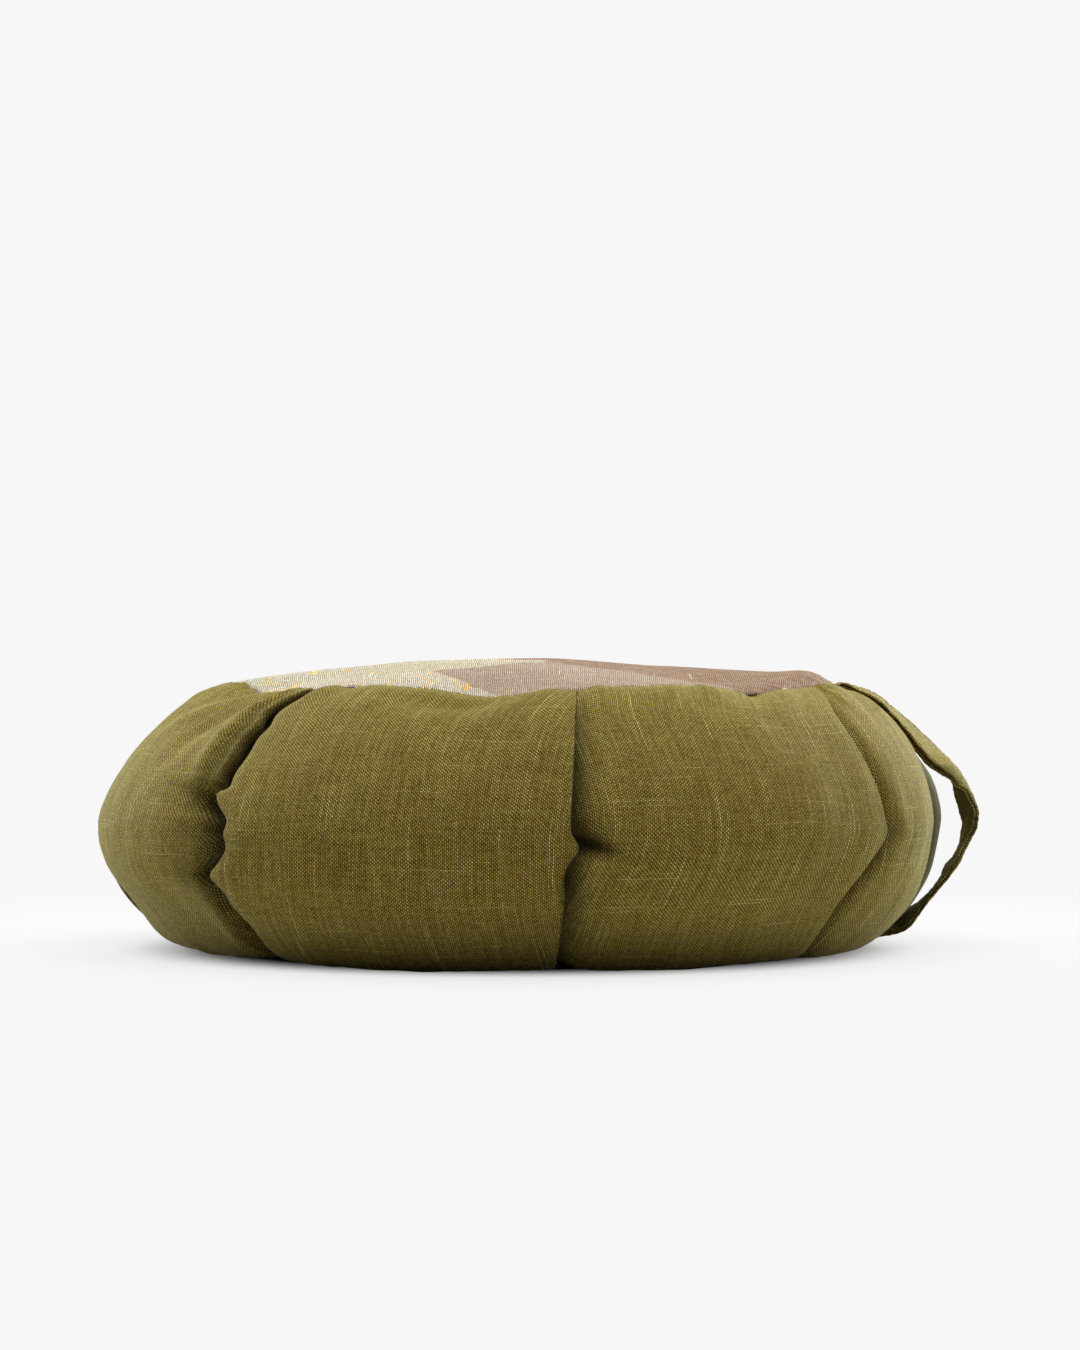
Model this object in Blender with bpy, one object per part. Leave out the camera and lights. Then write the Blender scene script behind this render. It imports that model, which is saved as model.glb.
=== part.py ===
"""Zafu, a round meditation cushion of pleated linen, built at its real size.

Metres, +Z up.  The origin is the centre of the flat underside, on the floor.
The front is -Y, and the carry strap bows out on the +X side.

Four cut pieces make it: a pleated side band, which is modelled as the filled
body that it wraps, a crowned top panel, a flat base panel, and a carry strap
that is sewn into the top and the bottom seam.

An azimuth is measured from the front and grows towards +X.  A height is a
share of the band's own width, 0 at the bottom seam and 1 at the top seam.
"""

import math
from collections import namedtuple

import bmesh
import bpy
import numpy as np

MM = 0.001

# ---------------------------------------------------------------- dimensions
BODY_RADIUS = 0.1895        # to the widest line of the band
SEAM_RADIUS = 0.1375        # both panels are cut to this circle
SEAM_HEIGHT = 0.1180        # of the top seam above the floor
WIDEST_HEIGHT = 0.0575      # of the band's widest line
UNDERSIDE = 0.0034          # lowest line of the band above the floor
UPPER_ROUNDNESS = 1.5       # superellipse power: 2 is round, less is pointed
LOWER_ROUNDNESS = 2.2
TOP_SHIFT = 0.0070          # the top has leaned this far towards the strap
LEAN_FROM = 0.3             # share of the band's width where the lean starts
CROWN = 0.0108              # rise of the top panel above its seam
CROWN_ROUNDNESS = 0.95      # power of its profile: 1 is a parabola
SHOULDER = 0.0030           # extra fullness of the crown on the strap's side
SHOULDER_AT = 0.86          # share of the panel's radius where it is fullest
SHOULDER_REACH = 0.13

CLOTH = 0.0020              # a panel with its turned seam allowance
GAP = 0.0003                # between two neighbouring pieces
REST_RADIUS = 0.1220        # flat part of the underside
SEAM_HUMP = 1.4             # rise of the top seam near each crease, in millimetres
HUMP_AT, HUMP_REACH = 0.28, 0.22    # shares of a lobe's width, crease to fold's edge
DIP_AT, DIP_REACH = 0.70, 0.16
WAVE_FROM = 0.72            # share of the band's width where the wave starts
WAVE_INSIDE = 0.45          # share of the top panel's radius where it ends
SEAM_TURN = 0.0022          # how far the band's edges turn in at a seam
PANEL_RADIUS = SEAM_RADIUS - SEAM_TURN - 2 * GAP
PANEL_ROLL = 0.0012         # how far the top panel's edge is rounded off
SEAM_EASE = 0.06            # share of the top panel's radius, next to its seam
RIM_LIFT = 0.0022           # of the base panel's edge above the floor

STRAP_WIDTH = 0.0250
STRAP_THICKNESS = 0.0026
STRAP_OFFSET = 0.0100       # of the strap's middle behind the cushion's middle
STRAP_BED = 0.0029          # how deep the strap presses into the shoulder
STRAP_BED_REACH = 8.5       # half width of that hollow, in degrees
STRAP_BED_FROM = 0.60       # share of the band's width where the hollow starts
STRAP_BED_EASE = 0.12
STRAP_AZIMUTH = 93.5

# --------------------------------------------------------------- resolution
ROWS = 25                   # along the band, seam to seam
LOBE_COLUMNS = 13           # across one lobe, crease to fold's edge
COLUMN_EASE = 1.25          # above 1, the columns crowd towards the crease
PANEL_SHARES = (1.0, 0.965, 0.90, 0.78, 0.60, 0.36)    # of the radius, per ring
STRAP_STATIONS = 44

# ------------------------------------------------------------------- pleats
# Azimuth of each fold's edge, in degrees, at five height shares; radius of the
# rolled edge, depth of the tuck behind it, and size and height share of the
# edge's sideways kink, in millimetres.
HEIGHTS = (0.0, 0.30, 0.50, 0.85, 1.0)
SLOT = 0.8                  # between a folded edge and the cloth that it covers
FLAT_ROW = 1.2              # width over which the layers lie sewn flat at a seam
FLAT_SHARE = 0.08           # of the band's width, next to each seam
KINK_SHARE = 0.04           # of the band's width that a kink takes
SEWN_SHARE = 0.35           # what is left of a fold's thickness at a seam
FULLNESS = 0.8              # power of the swell's profile, seam to seam
SLACK_AT, SLACK_REACH = 0.28, 0.13  # height shares of a lobe's hanging lower part
Pleat = namedtuple("Pleat", "base belly middle shoulder top roll tuck kink kink_at")
PLEATS = (
    Pleat(-94.0, -93.5, -92.5, -93.0, -94.0, 1.8, 15.0, 3.0, 0.51),
    Pleat(-38.0, -41.5, -43.0, -44.8, -43.0, 3.0, 13.0, 0.0, 0.50),
    Pleat(5.4, 5.9, 6.0, 6.3, 7.2, 1.2, 14.0, 3.8, 0.46),
    Pleat(51.0, 48.2, 55.0, 55.0, 62.0, 1.2, 15.0, 1.5, 0.49),
    Pleat(86.0, 84.0, 84.0, 87.0, 89.0, 1.6, 9.0, 0.0, 0.50),
    Pleat(133.0, 134.0, 136.0, 135.0, 134.0, 1.4, 14.0, 3.0, 0.44),
    Pleat(179.0, 178.0, 176.5, 177.0, 178.0, 2.4, 15.0, 2.0, 0.52),
    Pleat(220.0, 221.0, 223.0, 222.0, 221.0, 1.3, 14.0, 3.4, 0.47),
)

# The lobe that ends at the pleat of the same number: how far its middle swells,
# how deep it starts below the fold before it and over what distance it rises
# out of that crease, how far its lower part hangs in, and how far the top seam
# dips along it, in millimetres.
Lobe = namedtuple("Lobe", "swell recess rise slack dip")
LOBES = (
    Lobe(3.4, 2.0, 9.0, 2.5, 2.4),
    Lobe(3.0, 1.4, 9.0, 5.6, 2.8),
    Lobe(4.4, 2.0, 5.0, 0.0, 3.4),
    Lobe(3.6, 1.4, 7.0, 0.0, 1.9),
    Lobe(1.0, 1.2, 10.0, 0.0, 1.2),
    Lobe(3.4, 1.0, 8.0, 0.5, 2.0),
    Lobe(4.0, 2.2, 9.0, 1.0, 2.8),
    Lobe(4.2, 1.8, 8.0, 1.5, 2.2),
)

# Hollows where the filling has sunk or a tuck is drawn in: the lobe, the
# distance from its crease, or from its fold's edge where that is negative, and
# the height share of the hollow's middle, its half sizes across and along the
# band and its depth, in millimetres, and its lean, in degrees.
Dent = namedtuple("Dent", "lobe away height across along depth lean")
DENTS = (
    Dent(1, -2.0, 0.46, 11.0, 26.0, 6.0, 12.0),
    Dent(2, 5.0, 0.46, 8.0, 34.0, -1.6, 0.0),
    Dent(3, 3.0, 0.45, 9.0, 6.0, 6.5, 25.0),
    Dent(3, 1.0, 0.26, 7.0, 20.0, 2.6, 0.0),
    Dent(4, 7.0, 0.47, 10.0, 24.0, 2.4, 0.0),
    Dent(4, -3.0, 0.50, 14.0, 52.0, 4.0, 0.0),
    Dent(5, 26.0, 0.48, 24.0, 60.0, 2.4, 0.0),
    Dent(6, 3.0, 0.46, 8.0, 8.0, 5.0, -20.0),
    Dent(7, -3.0, 0.50, 9.0, 22.0, 4.5, 0.0),
    Dent(0, 3.0, 0.48, 8.0, 7.0, 5.5, 25.0),
)

# The strap's middle line, from the top seam out and down to the bottom seam,
# seen from the front, and its twist about that line.
Station = namedtuple("Station", "out up twist")
STRAP_ROUTE = (
    Station(0.1432, 0.1186, 0.0),
    Station(0.1520, 0.1160, 6.0),
    Station(0.1640, 0.1078, 12.0),
    Station(0.1745, 0.0980, 15.0),
    Station(0.1848, 0.0882, 17.0),
    Station(0.1950, 0.0790, 10.0),
    Station(0.2018, 0.0700, -4.0),
    Station(0.2036, 0.0610, -11.0),
    Station(0.2022, 0.0515, -9.0),
    Station(0.1968, 0.0405, -4.0),
    Station(0.1906, 0.0305, -1.0),
    Station(0.1844, 0.0210, -3.0),
    Station(0.1770, 0.0120, -6.0),
    Station(0.1675, 0.0048, -3.0),
    Station(0.1560, 0.0018, 0.0),
    Station(0.1392, 0.0017, 0.0),
)


# ------------------------------------------------------------- small helpers
def smooth(x):
    """Eased step from 0 to 1 while x goes from 0 to 1."""
    x = np.clip(x, 0.0, 1.0)
    return x * x * (3.0 - 2.0 * x)


def catmull_rom(a, b, c, d, u):
    """Cubic between b and c, a share u of the way, that passes through both."""
    return 0.5 * (2 * b + (c - a) * u + (2 * a - 5 * b + 4 * c - d) * u**2
                  + (3 * b - a - 3 * c + d) * u**3)


def spline(points, samples):
    """A Catmull-Rom curve through rows of numbers, evenly spaced along it."""
    p = np.array(points, float)
    p = np.vstack([2 * p[0] - p[1], p, 2 * p[-1] - p[-2]])
    dense = []
    for i in range(len(p) - 3):
        for u in np.linspace(0.0, 1.0, 24, endpoint=i == len(p) - 4):
            dense.append(catmull_rom(*p[i:i + 4], u))
    dense = np.array(dense)
    steps = np.linalg.norm(np.diff(dense[:, :2], axis=0), axis=1)
    length = np.concatenate([[0.0], np.cumsum(steps)])
    wanted = np.linspace(0.0, length[-1], samples)
    return np.array([np.interp(wanted, length, column) for column in dense.T]).T


def at_seam(belly):
    """Share of a fold's thickness: all of it at the belly, little at a seam."""
    return SEWN_SHARE + (1 - SEWN_SHARE) * belly


def along_pleat(pleat, height):
    """The fold's azimuth in degrees at a height share, without its kink."""
    knots = pleat[:len(HEIGHTS)]
    knots = (2 * knots[0] - knots[1], *knots, 2 * knots[-1] - knots[-2])
    place = float(np.interp(height, HEIGHTS, range(len(HEIGHTS))))
    start = min(int(place), len(HEIGHTS) - 2)
    return catmull_rom(*knots[start:start + 4], place - start)


# ------------------------------------------------------------- band's section
def band_section():
    """Radius, height and outward normal of the plain band at each row."""
    turn = np.linspace(-math.pi / 2, math.pi / 2, 721)
    upper = turn > 0
    power = np.where(upper, UPPER_ROUNDNESS, LOWER_ROUNDNESS)
    rise = np.where(upper, SEAM_HEIGHT - WIDEST_HEIGHT, WIDEST_HEIGHT - UNDERSIDE)
    out = np.abs(np.cos(turn)) ** (2 / power)
    up = np.sign(turn) * np.abs(np.sin(turn)) ** (2 / power)
    r = SEAM_RADIUS + (BODY_RADIUS - SEAM_RADIUS) * out
    z = WIDEST_HEIGHT + rise * up
    length = np.concatenate([[0.0], np.cumsum(np.hypot(np.diff(r), np.diff(z)))])
    share = np.linspace(0.0, 1.0, ROWS)
    r = np.interp(share * length[-1], length, r)
    z = np.interp(share * length[-1], length, z)
    dr, dz = np.gradient(r), np.gradient(z)
    size = np.hypot(dr, dz)
    return share, r, z, dz / size, -dr / size, length[-1]


def seam_wave(lobe, share):
    """Rise and dip of the top seam along one lobe, crease to fold's edge."""
    high = SEAM_HUMP * np.exp(-((share - HUMP_AT) / HUMP_REACH) ** 2)
    low = lobe.dip * np.exp(-((share - DIP_AT) / DIP_REACH) ** 2)
    return (high - low) * MM


def dents(number, from_crease, from_edge, height, band_width):
    """Depth of the hollows in a lobe, by the distances from its two sides."""
    depth = 0.0 * from_crease
    for dent in DENTS:
        if dent.lobe != number:
            continue
        lean = math.radians(dent.lean)
        x = (from_crease if dent.away >= 0 else -from_edge) / MM - dent.away
        y = (height - dent.height) * band_width / MM
        across = (x * math.cos(lean) - y * math.sin(lean)) / dent.across
        along = (x * math.sin(lean) + y * math.cos(lean)) / dent.along
        depth = depth + dent.depth * MM * np.exp(-across**2 - along**2)
    return depth


def edge_level(number, height, band_width):
    """How far a fold's edge stands off the plain band: at or below it."""
    far = np.array(1.0)
    return -float(dents(number, far, far * 0, height, band_width))


def crease_depth(number, height, band_width):
    """How deep a lobe starts, under the folded edge of the lobe before it."""
    fold = PLEATS[number - 1]
    belly = math.sin(math.pi * height) ** FULLNESS
    depth = (2 * fold.roll + SLOT) * at_seam(belly) + LOBES[number].recess * belly
    return depth * MM - edge_level((number - 1) % len(LOBES), height, band_width)


def lobe_relief(number, from_crease, from_edge, height, band_width):
    """How far a lobe's cloth stands off the plain band, in metres."""
    lobe = LOBES[number]
    belly = math.sin(math.pi * height) ** FULLNESS
    share = from_crease / (from_crease + from_edge)
    swell = lobe.swell * belly * np.maximum(1 - (2 * share - 1) ** 2, 0.0) ** 0.9
    slack = lobe.slack * math.exp(-((height - SLACK_AT) / SLACK_REACH) ** 2)
    slack = slack * smooth(share / 0.15) * smooth((1 - share) / 0.3)
    rise = np.exp(-(np.abs(from_crease) / (lobe.rise * MM)) ** 1.6)
    crease = crease_depth(number, height, band_width) * rise
    hollow = dents(number, from_crease, from_edge, height, band_width)
    return (swell - slack) * MM - crease - hollow


def fold_points(pleat, open_share, belly):
    """The rolled edge and the tuck behind it: sideways and outward offsets.

    At a seam the layers are sewn flat, so the points run on in a tight row.
    """
    roll = pleat.roll * MM * at_seam(belly)
    tuck = max(pleat.tuck * MM * open_share, 2.5 * roll)
    slot = SLOT * MM * (0.5 + 0.5 * belly)
    side, out = [], []
    for degrees in (90.0, 45.0, 0.0, -45.0, -90.0):
        angle = math.radians(degrees)
        side.append(roll * (math.cos(angle) - 1))
        out.append(roll * (math.sin(angle) - 1))
    side += [-tuck, -roll]
    out += [-2 * roll - slot / 2, -2 * roll - slot]
    side, out = np.array(side), np.array(out)
    row = -roll + (roll + FLAT_ROW * MM) * np.linspace(0.0, 1.0, len(side))
    return side * open_share + row * (1 - open_share), out


def strap_bed(azimuth, height):
    """Depth of the hollow that the strap presses into the shoulder."""
    beside = np.exp(-np.abs((np.degrees(azimuth) - STRAP_AZIMUTH) / STRAP_BED_REACH) ** 3)
    return STRAP_BED * beside * float(smooth((height - STRAP_BED_FROM) / STRAP_BED_EASE))


def band_ring(row, section):
    """Azimuth and place of each point of one ring round the band."""
    share, r, z, n_out, n_up, band_width = section
    height = share[row]
    belly = math.sin(math.pi * height) ** 0.5
    open_share = float(smooth(min(height, 1 - height) / FLAT_SHARE))
    lean = TOP_SHIFT * smooth((height - LEAN_FROM) / (1 - LEAN_FROM))
    radius = r[row]

    azimuth, relief, wave, edges = [], [], [], []
    for pleat in PLEATS:
        kink = pleat.kink * MM * math.exp(-((height - pleat.kink_at) / KINK_SHARE) ** 2)
        edges.append(math.radians(along_pleat(pleat, height)) + kink / radius)
    for number, pleat in enumerate(PLEATS):
        before = edges[number - 1] - (2 * math.pi if number == 0 else 0)
        side, out = fold_points(pleat, open_share, belly)
        last = edges[number] + side[0] / radius
        first = before + FLAT_ROW * MM * (1 - open_share) / radius
        part = np.linspace(0.0, 1.0, LOBE_COLUMNS) ** COLUMN_EASE
        turn = first + (last - first) * part
        from_crease, from_edge = (turn - before) * radius, (last - turn) * radius
        azimuth.append(turn)
        relief.append(lobe_relief(number, from_crease, from_edge, height, band_width))
        wave.append(seam_wave(LOBES[number], part))

        following = (number + 1) % len(PLEATS)
        level = edge_level(number, height, band_width) + out[1:]
        level[-1] = min(level[-1], -crease_depth(following, height, band_width))
        level[-2] = (level[-3] + level[-1]) / 2
        azimuth.append(edges[number] + side[1:] / radius)
        relief.append(level)
        wave.append(side[1:] * 0 + seam_wave(LOBES[number], 1.0))

    azimuth, relief, wave = map(np.concatenate, (azimuth, relief, wave))
    relief = relief - strap_bed(azimuth, height)
    reach = radius + relief * n_out[row]
    wave = wave * smooth((height - WAVE_FROM) / (1 - WAVE_FROM))
    level = z[row] + relief * n_up[row] + wave
    place = np.column_stack([lean + reach * np.sin(azimuth), -reach * np.cos(azimuth), level])
    return azimuth, place


# ---------------------------------------------------------------- the pieces
def crown_level(share, azimuth):
    """Height of the top panel at a share of its radius."""
    wave = seam_rise(azimuth) * smooth((share - WAVE_INSIDE) / (1 - WAVE_INSIDE))
    rise = CROWN * max(1 - share**2, 0.0) ** CROWN_ROUNDNESS
    strap_side = max(math.sin(azimuth), 0.0) ** 2
    bump = math.exp(-((share - SHOULDER_AT) / SHOULDER_REACH) ** 2)
    bump *= smooth((1 - share) / SEAM_EASE)
    return SEAM_HEIGHT + wave + rise + SHOULDER * strap_side * bump


def seam_rise(azimuth):
    """Height of the top seam's wave at an azimuth."""
    turns = [math.radians(p.top) for p in PLEATS]
    azimuth = (azimuth - turns[0]) % (2 * math.pi) + turns[0]
    starts = turns + [turns[0] + 2 * math.pi]
    number = max(i for i in range(len(PLEATS)) if azimuth >= starts[i] - 1e-9)
    share = (azimuth - starts[number]) / (starts[number + 1] - starts[number])
    return float(seam_wave(LOBES[(number + 1) % len(PLEATS)], share))


def disc_ring(bm, turns, radius, level, lean=0.0):
    """A ring of vertices at these azimuths: level is a function of the azimuth."""
    return [bm.verts.new((lean + radius * math.sin(t), -radius * math.cos(t), level(t)))
            for t in turns]


def panel_turns(row, section):
    """Azimuths of a panel's columns: every second point of the band's edge."""
    return [float(turn) for turn in band_ring(row, section)[0][::2]]


def bridge(bm, lower, upper, outward=True):
    """Triangles between two rings of the same count, all cut the same way."""
    count = len(lower)
    for i in range(count):
        j = (i + 1) % count
        for face in ((lower[i], lower[j], upper[j]), (lower[i], upper[j], upper[i])):
            bm.faces.new(face if outward else face[::-1])


def close_ring(bm, ring, place, upward):
    """A fan from a ring to one point."""
    tip = bm.verts.new(place)
    count = len(ring)
    for i in range(count):
        j = (i + 1) % count
        bm.faces.new((ring[i], ring[j], tip) if upward else (ring[j], ring[i], tip))


def cap(bm, rim, rings, tip, upward):
    """Closes the body inside its rim, whose points are twice as many."""
    inner, count = rings[0], len(rim)
    for i, here in enumerate(inner):
        there = inner[(i + 1) % len(inner)]
        first, middle, last = (rim[(2 * i + step) % count] for step in range(3))
        for face in ((first, middle, here), (middle, there, here), (middle, last, there)):
            bm.faces.new(face if upward else face[::-1])
    for outer, inner in zip(rings, rings[1:]):
        bridge(bm, outer, inner, upward)
    close_ring(bm, rings[-1], tip, upward)


def make_body(section):
    """The side band with its pleats, as the filled solid that it wraps."""
    bm = bmesh.new()
    rings = [[bm.verts.new(place) for place in band_ring(row, section)[1]]
             for row in range(ROWS)]
    for lower, upper in zip(rings, rings[1:]):
        bridge(bm, lower, upper)

    under_panel = CLOTH + GAP
    turned = SEAM_RADIUS - SEAM_TURN
    turns = band_ring(0, section)[0]
    below = disc_ring(bm, turns, turned, lambda turn: RIM_LIFT + under_panel)
    bridge(bm, below, rings[0])
    turns = band_ring(ROWS - 1, section)[0]
    above = disc_ring(bm, turns, turned,
                      lambda turn: crown_level(1.0, turn) - under_panel - GAP, TOP_SHIFT)
    for i in range(1, len(above), 2):
        above[i].co = (above[i - 1].co + above[(i + 1) % len(above)].co) / 2
    bridge(bm, rings[-1], above)

    turns = panel_turns(ROWS - 1, section)
    domes = [disc_ring(bm, turns, PANEL_RADIUS * share,
                       lambda turn, share=share: crown_level(share, turn) - under_panel,
                       TOP_SHIFT) for share in PANEL_SHARES[1:]]
    peak = (TOP_SHIFT, 0, SEAM_HEIGHT + CROWN - under_panel)
    cap(bm, above, domes, peak, upward=True)

    turns = panel_turns(0, section)
    flats = [disc_ring(bm, turns, REST_RADIUS, lambda turn: under_panel)]
    cap(bm, below, flats, (0, 0, under_panel), upward=False)
    return bm


def make_top_panel(section):
    """The crowned disc of printed linen, its edge turned down into the seam."""
    bm = bmesh.new()
    turns = panel_turns(ROWS - 1, section)

    def skin(share, below):
        return disc_ring(bm, turns, PANEL_RADIUS * share,
                         lambda turn: crown_level(share, turn) - below, TOP_SHIFT)

    outer = [skin(share, PANEL_ROLL if share == 1.0 else 0.0) for share in PANEL_SHARES]
    inner = [skin(share, CLOTH) for share in PANEL_SHARES]
    for low, high in zip(outer, outer[1:]):
        bridge(bm, low, high)
    for low, high in zip(inner, inner[1:]):
        bridge(bm, low, high, outward=False)
    bridge(bm, inner[0], outer[0])
    peak = SEAM_HEIGHT + CROWN
    close_ring(bm, outer[-1], (TOP_SHIFT, 0, peak), upward=True)
    close_ring(bm, inner[-1], (TOP_SHIFT, 0, peak - CLOTH), upward=False)
    return bm


def make_base_panel(section):
    """The plain disc underneath: flat where it rests, lifted at its seam."""
    bm = bmesh.new()
    turns = panel_turns(0, section)
    profile = ((PANEL_RADIUS, RIM_LIFT), (REST_RADIUS, 0.0), (REST_RADIUS / 2, 0.0))
    outer = [disc_ring(bm, turns, r, lambda turn, z=z: z) for r, z in profile]
    inner = [disc_ring(bm, turns, r, lambda turn, z=z: z + CLOTH) for r, z in profile]
    for low, high in zip(outer, outer[1:]):
        bridge(bm, low, high, outward=False)
    for low, high in zip(inner, inner[1:]):
        bridge(bm, low, high)
    bridge(bm, outer[0], inner[0])
    close_ring(bm, outer[-1], (0, 0, 0), upward=False)
    close_ring(bm, inner[-1], (0, 0, CLOTH), upward=True)
    return bm


def make_strap():
    """The carry strap: a flat band of doubled cloth with rounded edges."""
    bm = bmesh.new()
    route = spline(STRAP_ROUTE, STRAP_STATIONS)
    flow = np.gradient(route[:, :2], axis=0)
    flow /= np.linalg.norm(flow, axis=1)[:, None]
    half, thick = STRAP_WIDTH / 2, STRAP_THICKNESS / 2
    corners = ((-half + thick, -thick), (-half, 0.0), (-half + thick, thick), (0.0, thick),
               (half - thick, thick), (half, 0.0), (half - thick, -thick), (0.0, -thick))
    rings = []
    for (out, up, twist), (run_out, run_up) in zip(route, flow):
        tilt = math.radians(twist)
        face = np.array([-run_up, 0.0, run_out])
        across = np.array([0.0, 1.0, 0.0])
        wide = across * math.cos(tilt) + face * math.sin(tilt)
        thin = face * math.cos(tilt) - across * math.sin(tilt)
        middle = np.array([out, STRAP_OFFSET, up])
        rings.append([bm.verts.new(middle + wide * w + thin * h) for w, h in corners])
    for low, high in zip(rings, rings[1:]):
        bridge(bm, low, high)
    bm.faces.new(rings[0][::-1])
    bm.faces.new(rings[-1])
    return bm


# ----------------------------------------------------------------- materials
def cloth_material(name, colour, roughness):
    """A matt woven cloth."""
    material = bpy.data.materials.new(name)
    material.use_nodes = True
    shader = material.node_tree.nodes["Principled BSDF"]
    shader.inputs["Base Color"].default_value = (*colour, 1.0)
    shader.inputs["Roughness"].default_value = roughness
    shader.inputs["Metallic"].default_value = 0.0
    material.diffuse_color = (*colour, 1.0)
    return material


def add_piece(name, bm, material):
    """One named object with outward faces and soft shading."""
    bmesh.ops.recalc_face_normals(bm, faces=bm.faces)
    mesh = bpy.data.meshes.new(name)
    bm.to_mesh(mesh)
    bm.free()
    mesh.shade_smooth()
    mesh.set_sharp_from_angle(angle=math.radians(50))
    mesh.materials.append(material)
    piece = bpy.data.objects.new(name, mesh)
    bpy.context.scene.collection.objects.link(piece)
    return piece


def main():
    for old in list(bpy.data.objects):
        bpy.data.objects.remove(old, do_unlink=True)
    olive = cloth_material("olive_linen", (0.150, 0.125, 0.038), 0.92)
    strap = cloth_material("olive_linen_strap", (0.140, 0.118, 0.040), 0.92)
    base = cloth_material("olive_linen_base", (0.135, 0.112, 0.036), 0.94)
    print_cloth = cloth_material("printed_linen", (0.520, 0.430, 0.350), 0.90)
    section = band_section()
    add_piece("side_band", make_body(section), olive)
    add_piece("top_panel", make_top_panel(section), print_cloth)
    add_piece("base_panel", make_base_panel(section), base)
    add_piece("carry_strap", make_strap(), strap)


main()
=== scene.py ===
"""Zafu, a round meditation cushion of pleated linen: its looks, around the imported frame.

Lengths are millimetres in the tables and the shape functions, and metres in the
finished meshes.  An azimuth is measured from the front, -Y, and grows towards +X.
A height is a share of the side band's own width, 0 at the bottom seam and 1 at
the top seam.
"""

import math
from collections import namedtuple

import bpy
import numpy as np
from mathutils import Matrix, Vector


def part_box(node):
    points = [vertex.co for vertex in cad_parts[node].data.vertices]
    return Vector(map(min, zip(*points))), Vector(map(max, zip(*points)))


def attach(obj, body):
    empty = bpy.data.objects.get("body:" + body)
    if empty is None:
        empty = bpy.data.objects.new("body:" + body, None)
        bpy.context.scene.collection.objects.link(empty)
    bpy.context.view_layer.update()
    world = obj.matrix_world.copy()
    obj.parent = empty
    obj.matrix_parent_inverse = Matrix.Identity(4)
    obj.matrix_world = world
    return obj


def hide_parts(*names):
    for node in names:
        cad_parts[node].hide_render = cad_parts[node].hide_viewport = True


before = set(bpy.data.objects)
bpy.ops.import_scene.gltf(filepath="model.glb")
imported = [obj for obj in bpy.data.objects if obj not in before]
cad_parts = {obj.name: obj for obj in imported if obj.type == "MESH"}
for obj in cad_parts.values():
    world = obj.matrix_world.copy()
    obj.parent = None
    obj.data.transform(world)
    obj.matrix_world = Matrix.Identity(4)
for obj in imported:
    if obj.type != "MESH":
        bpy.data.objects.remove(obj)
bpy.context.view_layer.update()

MM = 0.001

# ------------------------------------------------------------- driving sizes
panel_low, panel_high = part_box("top_panel")
strap_low, strap_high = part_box("carry_strap")
PANEL_RADIUS = (panel_high.y - panel_low.y) / 2 / MM
STRAP_WIDTH = (strap_high.y - strap_low.y) / MM
STRAP_OFFSET = (strap_high.y + strap_low.y) / 2 / MM

BODY_RADIUS = 189.5         # to the widest line of the band
SEAM_RADIUS = 137.5         # both panels are cut to this circle
SEAM_HEIGHT = 118.0         # of the top seam above the floor
WIDEST_HEIGHT = 57.5        # of the band's widest line
UNDERSIDE = 3.4             # lowest line of the band above the floor
UPPER_ROUNDNESS = 1.5       # superellipse power: 2 is round, less is pointed
LOWER_ROUNDNESS = 2.2
TOP_SHIFT = 7.0             # the top has leaned this far towards the strap
LEAN_FROM = 0.3             # height share of the band from which it leans
CROWN = 12.2                # rise of the top panel above its seam
CROWN_ROUNDNESS = 0.88
SHOULDER = 2.6              # extra fullness of the crown on the strap's side
SHOULDER_AT = 0.93
SHOULDER_REACH = 0.08
HOLLOW = 1.8                # where the filling has sunk a little, across the top
HOLLOW_AT, HOLLOW_REACH = 54.0, 38.0
HOLLOW_EASE = 0.15          # share of the radius over which it ends at the seam

CLOTH = 1.6                 # a panel with its turned seam allowance
REST_RADIUS = 122.0         # flat part of the underside
RIM_LIFT = 2.2              # of the base panel's edge above the floor
SEAM_EASE = 0.06            # share of the radius over which the shoulder ends at the seam
SEAM_HUMP = 1.4             # rise of the top seam near each crease
HUMP_AT, HUMP_REACH = 0.28, 0.22        # in shares of the lobe, as the dip's are
DIP_AT, DIP_REACH = 0.70, 0.16
SAG, SAG_AZIMUTH = 3.8, 15.0    # the lower belly sinks this far, most at this azimuth
SAG_AT, SAG_REACH = 0.11, 0.075         # in height shares
WAVE_FROM = 0.72            # the seam's wave starts at this height on the band
WAVE_INSIDE = 0.45          # and at this share of the top panel's radius

# The seam's turnings that the band hides, ring by ring: how far in and how far up
# from the band's edge.  Beyond them it closes under the top and over the base.
TOP_TURNINGS = ((0.7, 0.35), (1.4, 0.1), (1.9, -0.7), (2.1, -2.0))
LOW_TURNINGS = ((0.9, -0.3), (1.8, 0.3), (2.2, 1.2))
UNDER_TOP, UNDER_TOP_GAP = (0.97, 0.8, 0.5, 0.2), 0.7
OVER_BASE, OVER_BASE_GAP = (1.0, 0.6, 0.2), 0.6

# The panels' own small unevenness, loose in the middle and puckered at the seam.
TOP_LOOSE, TOP_LOOSE_WAVE, TOP_LOOSE_EASE = 0.30, 46.0, 0.1
TOP_PUCKER, TOP_PUCKER_REACH = 0.35, 0.05
BASE_PUCKER, BASE_PUCKER_REACH = 0.3, 0.04
PANEL_INSET = 0.6           # of a panel's inner face from its edge
PANEL_EDGE = ((0.7, 0.0), (0.25, 0.15), (0.0, 0.8))     # drop share and inset round its edge
PANEL_CLOTH = 400.0         # the cloth coordinates of a panel's middle

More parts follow.
